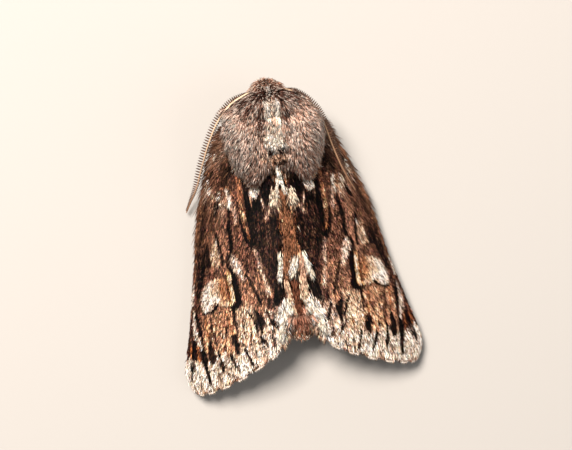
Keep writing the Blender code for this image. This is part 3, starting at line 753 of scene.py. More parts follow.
# %% The body's skin
BODY_NODES = ["head", "collar", "thorax", "tegula_left", "tegula_right", "abdomen", "tail_tuft",
              "palp_left", "palp_right"]
SWELL = {"collar": 0.5, "palp_left": 0.42, "palp_right": 0.42, "head": 0.3}
SWELL_ELSEWHERE, SHRINK, VOXEL = 0.17, 0.22, 0.16

copies = []
for node in BODY_NODES:
    copy = bpy.data.objects.new(node + "_copy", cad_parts[node].data.copy())
    bpy.context.collection.objects.link(copy)
    edited(copy, lambda: bpy.ops.mesh.remove_doubles(threshold=1e-6))
    shaped(copy, "DISPLACE", strength=SWELL.get(node, SWELL_ELSEWHERE) * MM, mid_level=0, direction="NORMAL")
    copies.append(copy)
only(*copies)
bpy.ops.object.join()
body_skin = bpy.context.object
body_skin.name = "body_skin"
for inward in (0.0, SHRINK, SHRINK):
    if inward:
        shaped(body_skin, "DISPLACE", strength=-inward * MM, mid_level=0, direction="NORMAL")
    shaped(body_skin, "REMESH", mode="VOXEL", voxel_size=VOXEL * MM)
    shaped(body_skin, "SMOOTH", factor=0.5, iterations=4)
handed_over(body_skin, skin_finish, "thorax_fur", *BODY_NODES, smooth=True)
print("body skin:", len(body_skin.data.polygons), "faces")

# %% [markdown]
# Every place on the skin belongs to one part of the body, because head, collar, shoulder tufts and
# abdomen carry different fur. The nearest of the plain solids says which.

# %% Which part of the body each face belongs to
body_skin.data.calc_loop_triangles()
skin_points = to_moth(np.array([v.co for v in body_skin.data.vertices]))
skin_normals = np.array([v.normal for v in body_skin.data.vertices])
skin_faces = np.array([t.vertices for t in body_skin.data.loop_triangles])
face_corners = skin_points[skin_faces]
face_middles = face_corners.mean(1)
nearness = []
for node in BODY_NODES:
    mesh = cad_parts[node].data
    tree = BVHTree.FromPolygons([v.co for v in mesh.vertices], [tuple(p.vertices) for p in mesh.polygons])
    nearness.append([tree.find_nearest(Vector(point))[3] for point in to_scene(face_middles)])
face_part = np.argmin(np.array(nearness), 0)
face_area = np.linalg.norm(np.cross(face_corners[:, 1] - face_corners[:, 0],
                                    face_corners[:, 2] - face_corners[:, 0]), axis=1) / 2
for number, node in enumerate(BODY_NODES):
    print(node, "has", round(float(face_area[face_part == number].sum()), 1), "square mm of skin")


def roots_on(parts, count, weight=None):
    """Random root places on these parts of the skin, with their outward normals."""
    share = face_area * np.isin(face_part, [BODY_NODES.index(part) for part in parts])
    if weight is not None:
        share = share * weight(face_middles)
    face = chance.choice(len(skin_faces), size=count, p=share / share.sum())
    a, b = chance.random(count), chance.random(count)
    over = a + b > 1
    a[over], b[over] = 1 - a[over], 1 - b[over]
    mix = np.stack([1 - a - b, a, b], 1)[..., None]
    return (face_corners[face] * mix).sum(1), unit((skin_normals[skin_faces[face]] * mix).sum(1))


# %% [markdown]
# ## The markings of the body
# The thorax is clad in pinkish grey hair, parted by paler streaks down the middle, with a cream spot
# before the crest and a rusty hind edge from which a white line runs back over the abdomen; the bases
# of the hairs are painted dark as shade deep in the coat. As on the wings, each mark is a named soft
# stroke in millimetres, here with a left and a right side, because the fur is a little different on
# each.

# %% Body marks
GREY_FUR, PINK_FUR, DARK_FUR = (198, 165, 150), (188, 148, 130), (70, 42, 34)
FUR_WHITE, FUR_RUST = (240, 226, 212), (150, 100, 72)

BODY_MARKS = [
    ("brow", (126, 91, 75), 1.0, 0.3, [(0, -0.3, 1.4), (0, 0.7, 1.4)]),
    ("dark collar", (60, 39, 33), 0.9, 0.35, [(-2.4, 2.1, 0.5), (0, 1.6, 0.7), (2.4, 2.1, 0.5)]),
    ("collar fleck, right", DARK_FUR, 0.95, 0.15, [(-0.45, 1.7, 0.18), (-0.9, 2.4, 0.26),
     (-0.95, 2.7, 0.1)]),
    ("collar fleck, left", DARK_FUR, 0.9, 0.15, [(0.45, 1.35, 0.16), (0.9, 1.75, 0.2)]),
    ("outer fleck, left", DARK_FUR, 0.75, 0.18, [(0.95, 2.5, 0.14), (2.1, 3.1, 0.2)]),
    ("outer fleck, right", DARK_FUR, 0.7, 0.18, [(-1.7, 2.2, 0.16), (-2.5, 2.8, 0.16)]),
    ("brow tuft", FUR_WHITE, 0.9, 0.12, [(-0.12, 1.1, 0.1), (-0.2, 1.9, 0.16)]),
    ("pale middle", (224, 194, 172), 0.8, 0.35, [(-0.1, 2.8, 0.45), (-0.1, 4.6, 0.4), (0.1, 6.4, 0.8)]),
    ("white streak, left", (255, 230, 210), 1.0, 0.1, [(0.45, 2.5, 0.2), (0.3, 3.6, 0.32),
     (0.1, 4.4, 0.16)]),
    ("white streak, right", (255, 230, 210), 1.0, 0.1, [(-0.65, 2.5, 0.2), (-0.65, 3.8, 0.26),
     (-0.55, 4.9, 0.16)]),
    ("dark flank, right", (92, 64, 54), 0.75, 0.2, [(-1.15, 2.9, 0.2), (-1.25, 4.4, 0.2)]),
    ("dark flank, left", (86, 60, 50), 0.75, 0.25, [(0.8, 2.8, 0.25), (1.15, 5.2, 0.25)]),
    ("cream spot", (250, 220, 198), 1.0, 0.2, [(0.25, 5.7, 0.4), (0.0, 6.5, 0.8)]),
    ("crest fleck, left", DARK_FUR, 0.85, 0.1, [(0.5, 7.3, 0.12), (0.6, 7.6, 0.12)]),
    ("crest fleck, right", DARK_FUR, 0.85, 0.1, [(-0.3, 7.3, 0.12), (-0.4, 7.6, 0.12)]),
    ("tan crest", (176, 136, 112), 0.75, 0.3, [(-0.8, 7.6, 0.4), (0, 7.8, 0.5), (0.8, 7.6, 0.4)]),
    ("crest spot, left", DARK_FUR, 0.8, 0.12, [(0.5, 8.2, 0.12), (0.55, 8.6, 0.1)]),
    ("crest spot, right", DARK_FUR, 0.8, 0.12, [(-0.9, 8.0, 0.12), (-0.95, 8.5, 0.12)]),
    ("rusty hind edge", FUR_RUST, 0.9, 0.25, [(-0.5, 9.0, 0.35), (0, 9.3, 0.5), (0.5, 9.0, 0.35)]),
    ("brown back", (150, 98, 68), 0.9, 0.3, [(0, 9.6, 0.6), (0, 15.0, 0.6), (0, 17.0, 1.1)]),
    ("back, white line", FUR_WHITE, 1.0, 0.08, [(0.15, 8.7, 0.1), (0.12, 9.8, 0.13), (0.35, 10.5, 0.12)]),
    ("back, white fork", FUR_WHITE, 0.9, 0.08, [(0.1, 9.8, 0.12), (-0.1, 10.8, 0.12)]),
    ("back, white patch, left", FUR_WHITE, 0.95, 0.12, [(0.75, 10.7, 0.1), (0.85, 11.9, 0.26)]),
    ("back, white patch, right", FUR_WHITE, 0.95, 0.12, [(-0.55, 11.0, 0.12), (-0.8, 11.9, 0.28)]),
    ("parting of the back", (96, 62, 46), 0.7, 0.08, [(-0.05, 11.2, 0.05), (0.0, 15.2, 0.07)]),
    ("big white tuft", (255, 234, 214), 1.0, 0.1, [(-0.45, 17.1, 0.15), (-0.15, 18.0, 0.3),
     (0.1, 18.8, 0.25)]),
    ("pale hair, left", (206, 170, 146), 0.7, 0.15, [(0.75, 17.2, 0.15), (0.75, 19.5, 0.2),
     (0.55, 22.0, 0.15)]),
    ("pale hair, right", (206, 170, 146), 0.7, 0.15, [(-0.75, 17.6, 0.15), (-0.75, 20.5, 0.2),
     (-0.6, 22.0, 0.15)]),
    ("reddish belly line", (112, 68, 50), 0.9, 0.2, [(0.1, 19.0, 0.25), (0.0, 22.2, 0.35)]),
]


def body_colours(place, normal):
    """Colours (0 to 255) of the fur at these places on the body."""
    x, y = place[:, 0], place[:, 1]
    ragged_x = x + 0.07 * lumps(x * 1.9, y * 1.1, 11) + 0.04 * lumps(x * 6, y * 3, 12)
    ragged_y = y + 0.16 * lumps(x * 2.1, y * 0.9, 13) + 0.1 * lumps(x * 5, y * 2, 14)
    colour = layered(plain(GREY_FUR, len(x)),
                     (PINK_FUR, smooth_step(0.6, -0.6, lumps(x * 1.1, y * 0.5, 15))),
                     ((98, 72, 62), 0.7 * smooth_step(7.8, 9.6, y)),
                     ((158, 112, 86), smooth_step(10.2, 11.4, y)),
                     ((208, 144, 114), smooth_step(20.0, 23.0, y)))
    above = smooth_step(-0.1, 0.35, normal[:, 2])
    colour = with_strokes(colour, BODY_MARKS, ragged_x, ragged_y, above)
    return blend(colour, (142, 106, 86), 0.8 * (1 - above))


# The skin under the fur takes the fur's colours at half their brightness: painted shade deep between the
# hairs.
tinted(body_skin.data, body_colours(skin_points, skin_normals) * 0.5)
print("body marks:", ", ".join(name for name, *_ in BODY_MARKS))

# %% [markdown]
# ## The fur of the body
# Fur on a moth is long hair-like scales. They all lie backward along the body, part at the middle,
# hang outward at the sides and turn forward only on the face. Their roots are painted dark as the
# shade deep in the coat and their tips pale as painted light on its surface, which gives the grizzled
# look, and slow changes in their direction gather them into locks.

# %% The lie of the fur, and its growth
DARK_HAIRS, PALE_HAIRS = 0.24, 0.2
EYES = {"left": (1.2, 1.3, 3.85), "right": (-1.2, 1.3, 3.85)}
EYE_RADIUS = 0.75


def lie_of_fur(place, normal, face_fur):
    """Which way hairs point from these places: backward, outward at the sides, forward on a face."""
    x, y, z = place.T
    outward = np.sign(x) * smooth_step(0.7, 2.0, np.abs(x))
    collar_spread = np.where(x > 0, 0.9, 0.3) * outward * smooth_step(4.4, 1.6, y)
    fan = (0.3 * np.sign(x) * smooth_step(1.8, 3.2, np.abs(x)) * smooth_step(4.5, 8.0, y)
           * smooth_step(14, 10, y))
    base = np.stack([0.14 * x + fan + collar_spread, np.ones(len(x)), np.full(len(x), -0.18)], 1)
    if face_fur:
        ahead = smooth_step(0.9, -0.1, y)[:, None]
        radial = np.stack([x * 0.55, -np.ones(len(x)), (z - 4.2) * 0.25], 1)
        base = base * (1 - ahead) + radial * ahead
    base[:, 0] += 0.34 * lumps(x * 1.3, y * 0.8, 21) + 0.2 * lumps(x * 3.4, y * 1.5, 22)
    base[:, 2] += 0.2 * lumps(y * 1.2, z * 1.4, 23)
    flat = base - (base * normal).sum(1, keepdims=True) * normal
    return unit(flat + 0.03 * normal)


def grow_fur(name, parts, count, length, width, rise, slot, rings=2, weight=None, face_fur=False):
    """Plants hairs on parts of the body's skin. length, width in mm; rise is how steeply they leave."""
    place, normal = roots_on(parts, count, weight)
    size = length(place) * chance.uniform(0.7, 1.2, count)
    locks = lumps(place[:, 0] * 2.6, place[:, 1] * 1.3, 24)
    size *= 1 + 0.18 * locks
    turn = chance.normal(0, 0.16, (count, 3))
    ahead = lie_of_fur(place, normal, face_fur)
    ahead = unit(ahead + turn - (turn * normal).sum(1, keepdims=True) * normal)
    steep = rise * chance.uniform(0.7, 1.35, count) * (1 + 0.25 * locks)
    corners = hair_corners(place, ahead, normal, size, width * chance.uniform(0.7, 1.2, count),
                           steep, steep * 0.55, rings)
    colour = body_colours(place + ahead * size[:, None] * 0.45, normal)
    grizzle = np.clip(chance.normal(1, 0.28, (count, 1)), 0.2, 1.6)
    dark = chance.random((count, 1)) < DARK_HAIRS
    pale = chance.random((count, 1)) > 1 - PALE_HAIRS
    colour = np.where(dark, colour * 0.24, colour) * grizzle
    colour = np.where(pale, colour * 0.4 + np.array(FUR_WHITE) * 0.66, colour)
    # Levels along each hair: painted shade at the root, deep in the coat, and painted light at the tip.
    levels = [0.1, 0.72, 1.15, 1.35] if rings == 3 else [0.1, 0.98, 1.35]
    middle = place.mean(0)
    angle = np.arctan2(place[:, 0] - middle[0], place[:, 2] - middle[2]) / (2 * math.pi) + 0.5
    back = (place[:, 1] - place[:, 1].min()) / np.ptp(place[:, 1])
    joined_coat(name, corners, shaded(colour, levels), on_map(angle, back), slot)


def round_the_eyes(place):
    """No fur over the eyes."""
    gap = np.min([np.linalg.norm(place - np.array(eye), axis=1) for eye in EYES.values()], 0)
    return 1.0 * (gap > EYE_RADIUS + 0.15)


def upper(place):
    """More fur above than below, where it is thin, and none over the eyes."""
    return np.where(place[:, 2] > 4.0, 1.0, 0.4) * round_the_eyes(place)


def on_ridge(place):
    """Only the top of the back, between the wings."""
    x, y, z = place.T
    return 1.0 * ((np.abs(x) < 0.5) & (z > 4.2) & (y > 8.6) & (y < 18.5))


# %% [markdown]
# Each part of the body then gets its own fur: short on the face, where it leaves the skin steeply,
# longest and steepest in the crest on the back, and flat on the tail. Hairs get longer or shorter
# along a part, so that one fur passes into the next without a step.

# %% Grow it, part by part
def from_to(base, more, start, end, side=1):
    """A length of hair in mm that changes by more between two places along the body, or across it."""
    return lambda place: base + more * smooth_step(start, end, place[:, side])


grow_fur("thorax_fur", ["thorax"], 13000, from_to(0.85, 0.25, 6, 9), 0.088, 0.62, "thorax_fur",
         weight=upper)
grow_fur("collar_fur", ["collar"], 8000,
         lambda p: 0.85 + 0.7 * smooth_step(2.4, 3.4, p[:, 0])
         - 0.1 * smooth_step(-1.0, -2.4, p[:, 0]) * smooth_step(4.0, 2.5, p[:, 1]),
         0.085, 0.85, "thorax_fur", weight=upper)
for part in ("tegula_left", "tegula_right"):
    grow_fur(part + "_fur", [part], 7200,
             lambda p: 0.9 + 0.15 * smooth_step(5.5, 7.5, p[:, 1]) - 0.25 * smooth_step(8.5, 9.8, p[:, 1]),
             0.088, 0.6, "thorax_fur")
grow_fur("head_fur", ["head", "palp_left", "palp_right"], 8500, from_to(0.36, 0.4, 0.1, 1.3), 0.075, 0.9,
         "head_fur", weight=round_the_eyes, face_fur=True)
grow_fur("abdomen_fur", ["abdomen"], 6000, from_to(0.95, 0.1, 18, 22), 0.1, 0.5, "abdomen_fur",
         weight=upper)
grow_fur("tail_fur", ["tail_tuft"], 3600, from_to(0.9, 0.1, 22.5, 24.5), 0.11, 0.4, "abdomen_fur",
         rings=3)
grow_fur("back_crest", ["thorax", "abdomen"], 1800, from_to(1.6, -0.5, 14, 18.5), 0.09, 0.95,
         "abdomen_fur", rings=3, weight=on_ridge)
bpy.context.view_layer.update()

# %% [markdown]
# ## The membranes of the wings
# Beneath its scales a moth's wing is a thin membrane stiffened by veins that run like fingers from
# the root to the edge. A grid is laid on the wing surface a scale's depth below the solid's face,
# the veins are raised on it as soft ridges, and Solidify gives it its thickness.

# %% Forewing membranes
VEINS = [0.08, 0.2, 0.31, 0.42, 0.52, 0.61, 0.7, 0.79, 0.88]
VEIN_HEIGHT, VEIN_SHARPNESS = 0.05, 60
MEMBRANE_DEPTH, MEMBRANE = 0.13, 0.2  # below the solid's face, and thick, in mm
TOP_DEPTH, UNDER_DEPTH = 0.12, 0.36  # of the roots of the scales on its two faces


def veins_at(across):
    """1 on a vein, falling softly to 0 beside it."""
    return sum(np.exp(-(((across - vein) * VEIN_SHARPNESS) ** 2)) for vein in VEINS)


def within(limits, share):
    """A share of a smaller range of shares."""
    return limits[0] + (limits[1] - limits[0]) * share


def lay_membrane(name, node, side, limits, steps, surface, colours_of, slot):
    """A grid within two ranges of shares, put on a wing surface, veined and given its thickness."""
    bpy.ops.object.select_all(action="DESELECT")
    bpy.ops.mesh.primitive_grid_add(x_subdivisions=steps[0], y_subdivisions=steps[1], size=2)
    piece = bpy.context.object
    piece.name = name
    flat = np.array([v.co for v in piece.data.vertices])
    out, across = (within(limits[axis], (flat[:, axis] + 1) / 2) for axis in (0, 1))
    place, _, normal = surface(out, across, side)
    ridge = veins_at(across) * smooth_step(0.1, 0.4, out)
    place = place + normal * (VEIN_HEIGHT * ridge - MEMBRANE_DEPTH)[:, None]
    for vertex, point in zip(piece.data.vertices, to_scene(place)):
        vertex.co = point
    if side > 0:
        edited(piece, bpy.ops.mesh.flip_normals)
    tinted(piece.data, colours_of(place[:, 0], place[:, 1], out, across))
    shaped(piece, "SOLIDIFY", thickness=MEMBRANE * MM, offset=-1, use_even_offset=False)
    handed_over(piece, skin_finish, slot, node, smooth=True)
    print(name, len(piece.data.polygons), "faces")


def membrane_colours_in_painted_shade(side_mm, back_mm, out, across):
    """The wing's colours darkened as painted shade between the scales, most near the edge under the fringe.
    """
    return wing_colours(side_mm, back_mm, out, across) * (0.7 - 0.5 * smooth_step(0.92, 0.955, out)[:, None])


for word, side in SIDES:
    # The membranes carry the wing's colours darkened as painted shade.
    lay_membrane("forewing_skin_" + word, "forewing_" + word, side, ((0.0, 0.966), (0.015, 0.985)),
                 (110, 60), wing_frame, membrane_colours_in_painted_shade, "wing_scales")

# %% [markdown]
# ## The scales of the forewings
# Scales overlap like shingles, rooted towards the body, tips towards the edge of the wing. They are
# sown evenly over the sheet with a little scatter, turned a little at random and raised a little at
# the tip. Most take the colour of the marking they lie in; a few are much darker or paler, and that
# salt and pepper is what makes the pattern look dusted and not printed.

# %% Sow the forewing scales
DARK_SCALES, PALE_SCALES = 0.14, 0.07


def speckled(colours, amount):
    """Scatters each scale's own colour round that of its marking."""
    count = len(colours)
    brightness = colours.mean(1, keepdims=True)
    changed = (colours * np.clip(chance.normal(1, amount, (count, 1)), 0.2, 1.7)
               + chance.normal(0, 4, (count, 3)))
    chosen = chance.random((count, 1))
    changed = np.where(chosen < DARK_SCALES, changed * (0.4, 0.28, 0.22), changed)
    paler = changed * 0.5 + np.array((216, 164, 130)) * 0.42
    return np.where((chosen > 1 - PALE_SCALES) & (brightness > 26), paler, changed)


def even_shares(count, stretch):
    """Shares spread evenly over a wing with scatter, stretch times as many across as along."""
    rows = int(math.sqrt(count / stretch))
    columns = int(rows * stretch)
    out = (np.arange(rows)[:, None] + chance.random((rows, columns))) / rows
    across = (np.arange(columns)[None, :] + chance.random((rows, columns))) / columns
    return out.ravel(), across.ravel()


def sow_scales(name, side, count, size, width, depth, surface, colours_of, slot,
               limits=((0, 1), (0, 1)), scatter=0.42, lifts=(0.05, 0.16)):
    """Overlapping scales, size by width in mm; those rooted below the membrane face down."""
    out, across = even_shares(count, 0.62)
    bake = on_map(across, out)
    out, across = within(limits[0], out), within(limits[1], across)
    place, ahead, normal = surface(out, across, side)
    place = place - normal * depth
    if depth > MEMBRANE_DEPTH + MEMBRANE:
        normal = -normal
    turn = (chance.normal(0, 0.13, (len(out), 1))
            + 0.05 * lumps(place[:, 0] * 1.5, place[:, 1] * 0.8, 31)[:, None])
    ahead = unit(ahead + turn * np.cross(ahead, normal))
    length = (size * chance.uniform(0.75, 1.3, len(out))
              * (0.85 + 0.3 * out - 0.55 * smooth_step(0.95, 0.975, out)))
    lift = chance.uniform(*lifts, len(out)) * (1 + 0.35 * lumps(place[:, 0] * 3, place[:, 1] * 2, 32))
    tip = place + ahead * length[:, None] * 0.4
    tints = speckled(colours_of(tip[:, 0], tip[:, 1], out, across), scatter)
    corners = scale_corners(place, ahead, normal, length, width * chance.uniform(0.75, 1.3, len(out)), lift)
    # Levels of root, sides, tip and sides: painted shade on the root, which lies under the scale before it,
    # and a little painted light on the tip.
    joined_coat(name, corners, shaded(tints, [0.45, 0.78, 1.05, 0.78], 1), bake, slot, scale_finish)


def underside_colours(side_mm, back_mm, out, across):
    """Plain pale brown with darker veins and a pale edge."""
    return layered(plain((168, 138, 116), len(out)),
                   ((120, 92, 76), smooth_step(-0.4, 0.6, lumps(side_mm * 0.8, back_mm * 0.4, 33))),
                   ((96, 68, 54), 0.5 * np.clip(veins_at(across), 0, 1)),
                   ((208, 186, 166), 0.7 * smooth_step(0.86, 0.97, out)))


for word, side in SIDES:
    sow_scales("forewing_scales_" + word, side, 38000, 0.37, 0.115, TOP_DEPTH, wing_frame, wing_colours,
               "wing_scales", ((0.0, 0.972), (0.004, 0.996)))
    sow_scales("forewing_hair_scales_" + word, side, 13000, 0.56, 0.075, 0.1, wing_frame, wing_colours,
               "wing_scales", ((0.0, 0.962), (0.004, 0.996)), scatter=0.5, lifts=(0.06, 0.22))
    sow_scales("forewing_under_" + word, side, 8000, 0.54, 0.26, UNDER_DEPTH, wing_frame,
               underside_colours, "wing_scales", ((0.0, 0.98), (0.01, 0.99)))

# %% [markdown]
# ## Fringe and wing hair
# Three places of the forewing wear long hair: the scalloped fringe along the outer edge, the brown
# mane at the front edge near the root, and the tufts of the inner edge that close the roof over the
# back. A fringe hair has two sections; the longer ones of mane and tufts have three, to bend better.

# %% Plant wing hair
def wing_hair(name, side, out, across, length, width, rise, droop, swing, colours, depth=0.1, rings=3):
    """Hairs on a forewing at given shares. swing turns them towards the costa (+) or the dorsum (-)."""
    count = len(out)
    place, ahead, normal = wing_frame(out, across, side)
    turn = (swing + chance.normal(0, 0.13, count))[:, None]
    ahead = unit(ahead + np.cross(ahead, normal) * side * turn)
    length = length * chance.uniform(0.8, 1.15, count)
    corners = hair_corners(place - normal * depth, ahead, normal, length,
                           width * chance.uniform(0.7, 1.2, count), rise * chance.uniform(0.5, 1.5, count),
                           droop * chance.uniform(0.6, 1.4, count), rings)
    # Levels along each hair: painted shade at the root and painted light at the tip.
    levels = [0.6, 1.0, 1.05, 1.15] if rings == 3 else [0.6, 1.0, 1.15]
    joined_coat(name, corners, shaded(colours, levels), on_map(across, out), "wing_scales")


def own_colours(out, across, amount=0.14):
    """The wing's colours at these shares, scattered from hair to hair."""
    place = wing_surface(out, across)
    return speckled(wing_colours(place[:, 0], place[:, 1], out, across), amount)


for word, side in SIDES:
    # fringe of the outer edge: white locks, with short brown hair in the bays between them
    count = 5000
    across = chance.random(count)
    bay = smooth_step(0.6, 0.97, np.abs(np.cos(math.pi * SCALLOPS * across)))
    inland = 0.25 + 0.45 * bay + 0.75 * chance.random(count)
    out = 1 - inland / WING_LENGTH
    reach = np.where(inland - 0.45 * bay > 0.65, 0.7, 0.94) * inland - 0.5 * bay
    place = wing_surface(out, across)
    colour = wing_colours(place[:, 0], place[:, 1], out + 0.01, across)
    colour = np.where(((bay > 0.3) & (inland < 0.7))[:, None], np.array((140, 94, 70.0)), colour)
    wing_hair("fringe_" + word, side, out, across, np.clip(reach, 0.2, 1), 0.1, 0.05, 0.1, 0.0,
              speckled(colour, 0.2), depth=0.17, rings=2)

    # mane of the front edge and hair of the base
    count = 2800
    out = 0.02 + 0.55 * chance.random(count) ** 1.2
    across = 1 - 0.42 * chance.random(count) ** 1.4 * smooth_step(0.6, 0.2, out)
    across = np.minimum(across, 0.995)
    colour = blend(own_colours(out, across), (104, 72, 54), 0.55 * smooth_step(0.5, 0.3, out))
    spread = (0.8 if side > 0 else 0.3) * chance.uniform(0.3, 1.1, count)
    wing_hair("costal_hair_" + word, side, out, across, 1.9 - 1.3 * smooth_step(0.25, 0.6, out), 0.09,
              0.12, 0.1, 0.14 + spread * smooth_step(0.32, 0.1, out),
              colour * chance.normal(1, 0.18, (count, 1)))

    # tufts of the inner edge, which close the roof over the back
    count = 3000
    out = 0.06 + 0.92 * chance.random(count)
    across = 0.004 + 0.1 * chance.random(count) ** 1.3
    swing = -0.2 - 0.3 * smooth_step(0.7, 0.85, out) + 0.12 * lumps(out * 16, across * 8, 41)
    wing_hair("dorsal_hair_" + word, side, out, across, 0.9 + 0.2 * lumps(out * 20, across * 5, 42), 0.09,
              0.24, 0.2, swing, own_colours(out, across, 0.2))

# %% [markdown]
# ## Locks over the head and back
# Some marks of the moth are whole locks of hair that lie over the rest: the dark and white ones of
# head and thorax, and the long ones that cover the seam between the wings like thatch on a roof
# ridge. Combing them by hand would mean placing each hair, so each lock is a root, a tip, a colour
# and a number of hairs, and a ray dropped on the solids tells how high the roof is at every hair.

# %% Comb the locks
SEAM = 1.3
ROOFS = ("forewing", "abdomen", "tail", "thorax", "collar", "tegula", "head")
roof_corners, roof_faces = [], []
for node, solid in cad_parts.items():
    if node.startswith(ROOFS):
        roof_faces += [[index + len(roof_corners) for index in face.vertices] for face in solid.data.polygons]
        roof_corners += [tuple(corner.co) for corner in solid.data.vertices]
roof = BVHTree.FromPolygons(roof_corners, roof_faces)


def roof_height(side_mm, back_mm):
    """How high the solids reach at these places, in mm, bridging the seam between the wings."""
    heights = []
    for x, y in zip(side_mm, back_mm):
        reach = [x] if y < 9.5 or abs(x) > SEAM else [x, math.copysign(SEAM, x)]
        hits = [roof.ray_cast(Vector(to_scene([(place, y, 12.0)])[0]), Vector((0, 0, -1)))[0]
                for place in reach]
        heights.append(max([hit[2] / MM for hit in hits if hit] or [3.0]))
    return np.array(heights)


LOCKS = [
    # colour, hairs, length, width of the lock, and its line from root to tip (side, back)
    ((255, 228, 206), 120, 0.8, 0.2, [(0.5, 2.3), (0.25, 3.9)]),
    ((255, 228, 206), 120, 0.8, 0.18, [(-0.62, 2.3), (-0.55, 4.2)]),
    ((216, 182, 162), 60, 0.8, 0.2, [(-0.1, 3.2), (-0.15, 4.3)]),
    ((78, 52, 43), 50, 0.7, 0.4, [(0.9, 2.5), (1.25, 4.8)]),
    ((84, 57, 47), 40, 0.7, 0.34, [(-1.15, 2.9), (-1.25, 4.2)]),
    ((255, 232, 212), 280, 0.5, 0.8, [(0.3, 5.5), (0.0, 6.6)]),
    ((36, 21, 17), 40, 0.32, 0.3, [(0.6, 6.95), (0.65, 7.2)]),
    ((36, 21, 17), 40, 0.32, 0.3, [(-0.3, 6.95), (-0.4, 7.2)]),
    ((210, 172, 146), 70, 0.5, 1.0, [(0.1, 7.2), (0.1, 7.8)]),
    ((122, 84, 64), 50, 0.5, 1.0, [(0.1, 7.3), (0.1, 8.0)]),
    ((40, 25, 20), 40, 0.4, 0.2, [(0.45, 7.9), (0.15, 8.2)]),
    ((40, 25, 20), 40, 0.4, 0.2, [(-0.65, 7.8), (-0.3, 8.2)]),
    ((34, 20, 17), 110, 0.55, 0.34, [(-0.1, 1.9), (-0.3, 2.5)]),
    ((34, 20, 17), 120, 0.6, 0.3, [(0.5, 1.3), (1.3, 1.8)]),
    ((44, 28, 23), 70, 0.6, 0.2, [(1.4, 2.4), (2.3, 2.8)]),
    ((44, 28, 23), 60, 0.6, 0.2, [(-1.4, 2.2), (-2.3, 2.6)]),
    ((250, 234, 218), 60, 0.5, 0.12, [(0.05, 1.1), (-0.05, 1.7)]),
    ((118, 74, 55), 130, 1.1, 0.34, [(0.15, 19.0), (0.1, 21.8)]),
    ((232, 190, 160), 130, 1.0, 0.14, [(0.95, 18.8), (0.75, 20.6), (0.45, 22.2)]),
    ((238, 200, 172), 170, 1.0, 0.26, [(-0.7, 18.7), (-0.75, 20.9)]),
    ((172, 120, 98), 130, 1.2, 0.8, [(0.1, 21.6), (0.0, 23.7)]),
    ((214, 172, 150), 150, 1.1, 0.55, [(0.4, 21.9), (1.2, 23.7)]),
    ((208, 164, 142), 150, 1.1, 0.55, [(-0.4, 21.9), (-1.25, 23.6)]),
    ((138, 88, 70), 70, 1.1, 0.9, [(0.1, 21.6), (0.0, 23.6)]),
    ((150, 102, 74), 170, 1.0, 0.34, [(0.1, 10.4), (0.0, 13.6)]),
    ((140, 94, 68), 190, 1.0, 0.4, [(0.0, 13.0), (0.1, 16.4)]),
    ((252, 238, 218), 160, 0.8, 0.12, [(0.15, 8.3), (0.1, 9.5)]),
    ((244, 228, 210), 60, 0.8, 0.12, [(0.2, 9.4), (0.45, 10.6)]),
    ((244, 228, 210), 50, 0.8, 0.1, [(0.0, 9.5), (-0.15, 10.6)]),
    ((236, 212, 188), 70, 0.7, 0.45, [(0.55, 10.2), (0.95, 11.6)]),
    ((236, 212, 188), 70, 0.7, 0.45, [(-0.55, 10.4), (-0.9, 11.7)]),
    ((252, 236, 214), 170, 0.9, 0.13, [(1.05, 16.3), (1.2, 17.6), (1.35, 18.6)]),
    ((252, 236, 214), 150, 0.9, 0.13, [(-1.0, 16.6), (-1.25, 17.6), (-1.55, 18.8)]),
    ((255, 236, 216), 240, 1.1, 0.26, [(-0.45, 16.8), (0.1, 18.2)]),
    ((160, 112, 84), 120, 1.1, 0.26, [(0.5, 16.2), (0.75, 18.4)]),
    ((204, 162, 138), 90, 1.0, 0.18, [(-0.85, 16.6), (-0.8, 19.0)]),
    ((255, 236, 216), 230, 1.0, 0.4, [(1.05, 20.6), (1.0, 21.8), (1.45, 22.7)]),
    ((255, 236, 216), 240, 1.0, 0.4, [(-0.85, 20.6), (-1.0, 21.9), (-1.4, 22.6)]),
    ((250, 232, 210), 130, 1.2, 0.22, [(1.75, 22.8), (1.9, 23.9)]),
    ((250, 232, 210), 130, 1.2, 0.22, [(-1.75, 22.8), (-1.9, 23.9)]),
]
corners, tints, bake = [], [], []
for colour, count, length, spread, line in LOCKS:
    line = [(*point, 0) for point in line]
    share = chance.random(count) ** 0.9
    centre = along(line, share * 0.999)[:, :2]
    ahead = along(line, np.minimum(share + 0.02, 1)) - along(line, np.maximum(share - 0.02, 0))
    off = chance.normal(0, spread * 0.5, count)
    side_mm, back_mm = centre[:, 0] + off, centre[:, 1] + chance.normal(0, 0.1, count)
    root = np.stack([side_mm, back_mm, roof_height(side_mm, back_mm) - 0.05], 1)
    onward = unit(ahead[:, :2])
    onward[:, 0] += chance.normal(0, 0.1, count) + off * 0.25
    size = length * chance.uniform(0.75, 1.2, count)
    onward = onward * size[:, None]
    tip_height = roof_height(side_mm + onward[:, 0], back_mm + onward[:, 1])
    tip_height = tip_height + chance.uniform(0.05, 0.3, count) + 0.15 * (back_mm > 8)
    heading = unit(np.stack([onward[:, 0], onward[:, 1], tip_height - root[:, 2]], 1))
    upward = unit(np.cross(np.cross(heading, (0, 0, 1.0)), heading))
    corners.append(hair_corners(root, heading, upward, size, 0.1, 0.35, 0.35, rings=3))
    shade = chance.normal(1, 0.13, (count, 1))
    shade[chance.random(count) < 0.12] *= 0.6
    # Levels along each hair: painted shade at the root and painted light at the tip.
    tints.append(shaded(np.array(colour, float) * shade, [0.5, 0.95, 1.08, 1.12]))
    bake.append(np.stack([side_mm / 6 + 0.5, back_mm / 30], 1))
joined_coat("back_locks", *(np.concatenate(rows) for rows in (corners, tints, bake)), "abdomen_fur")

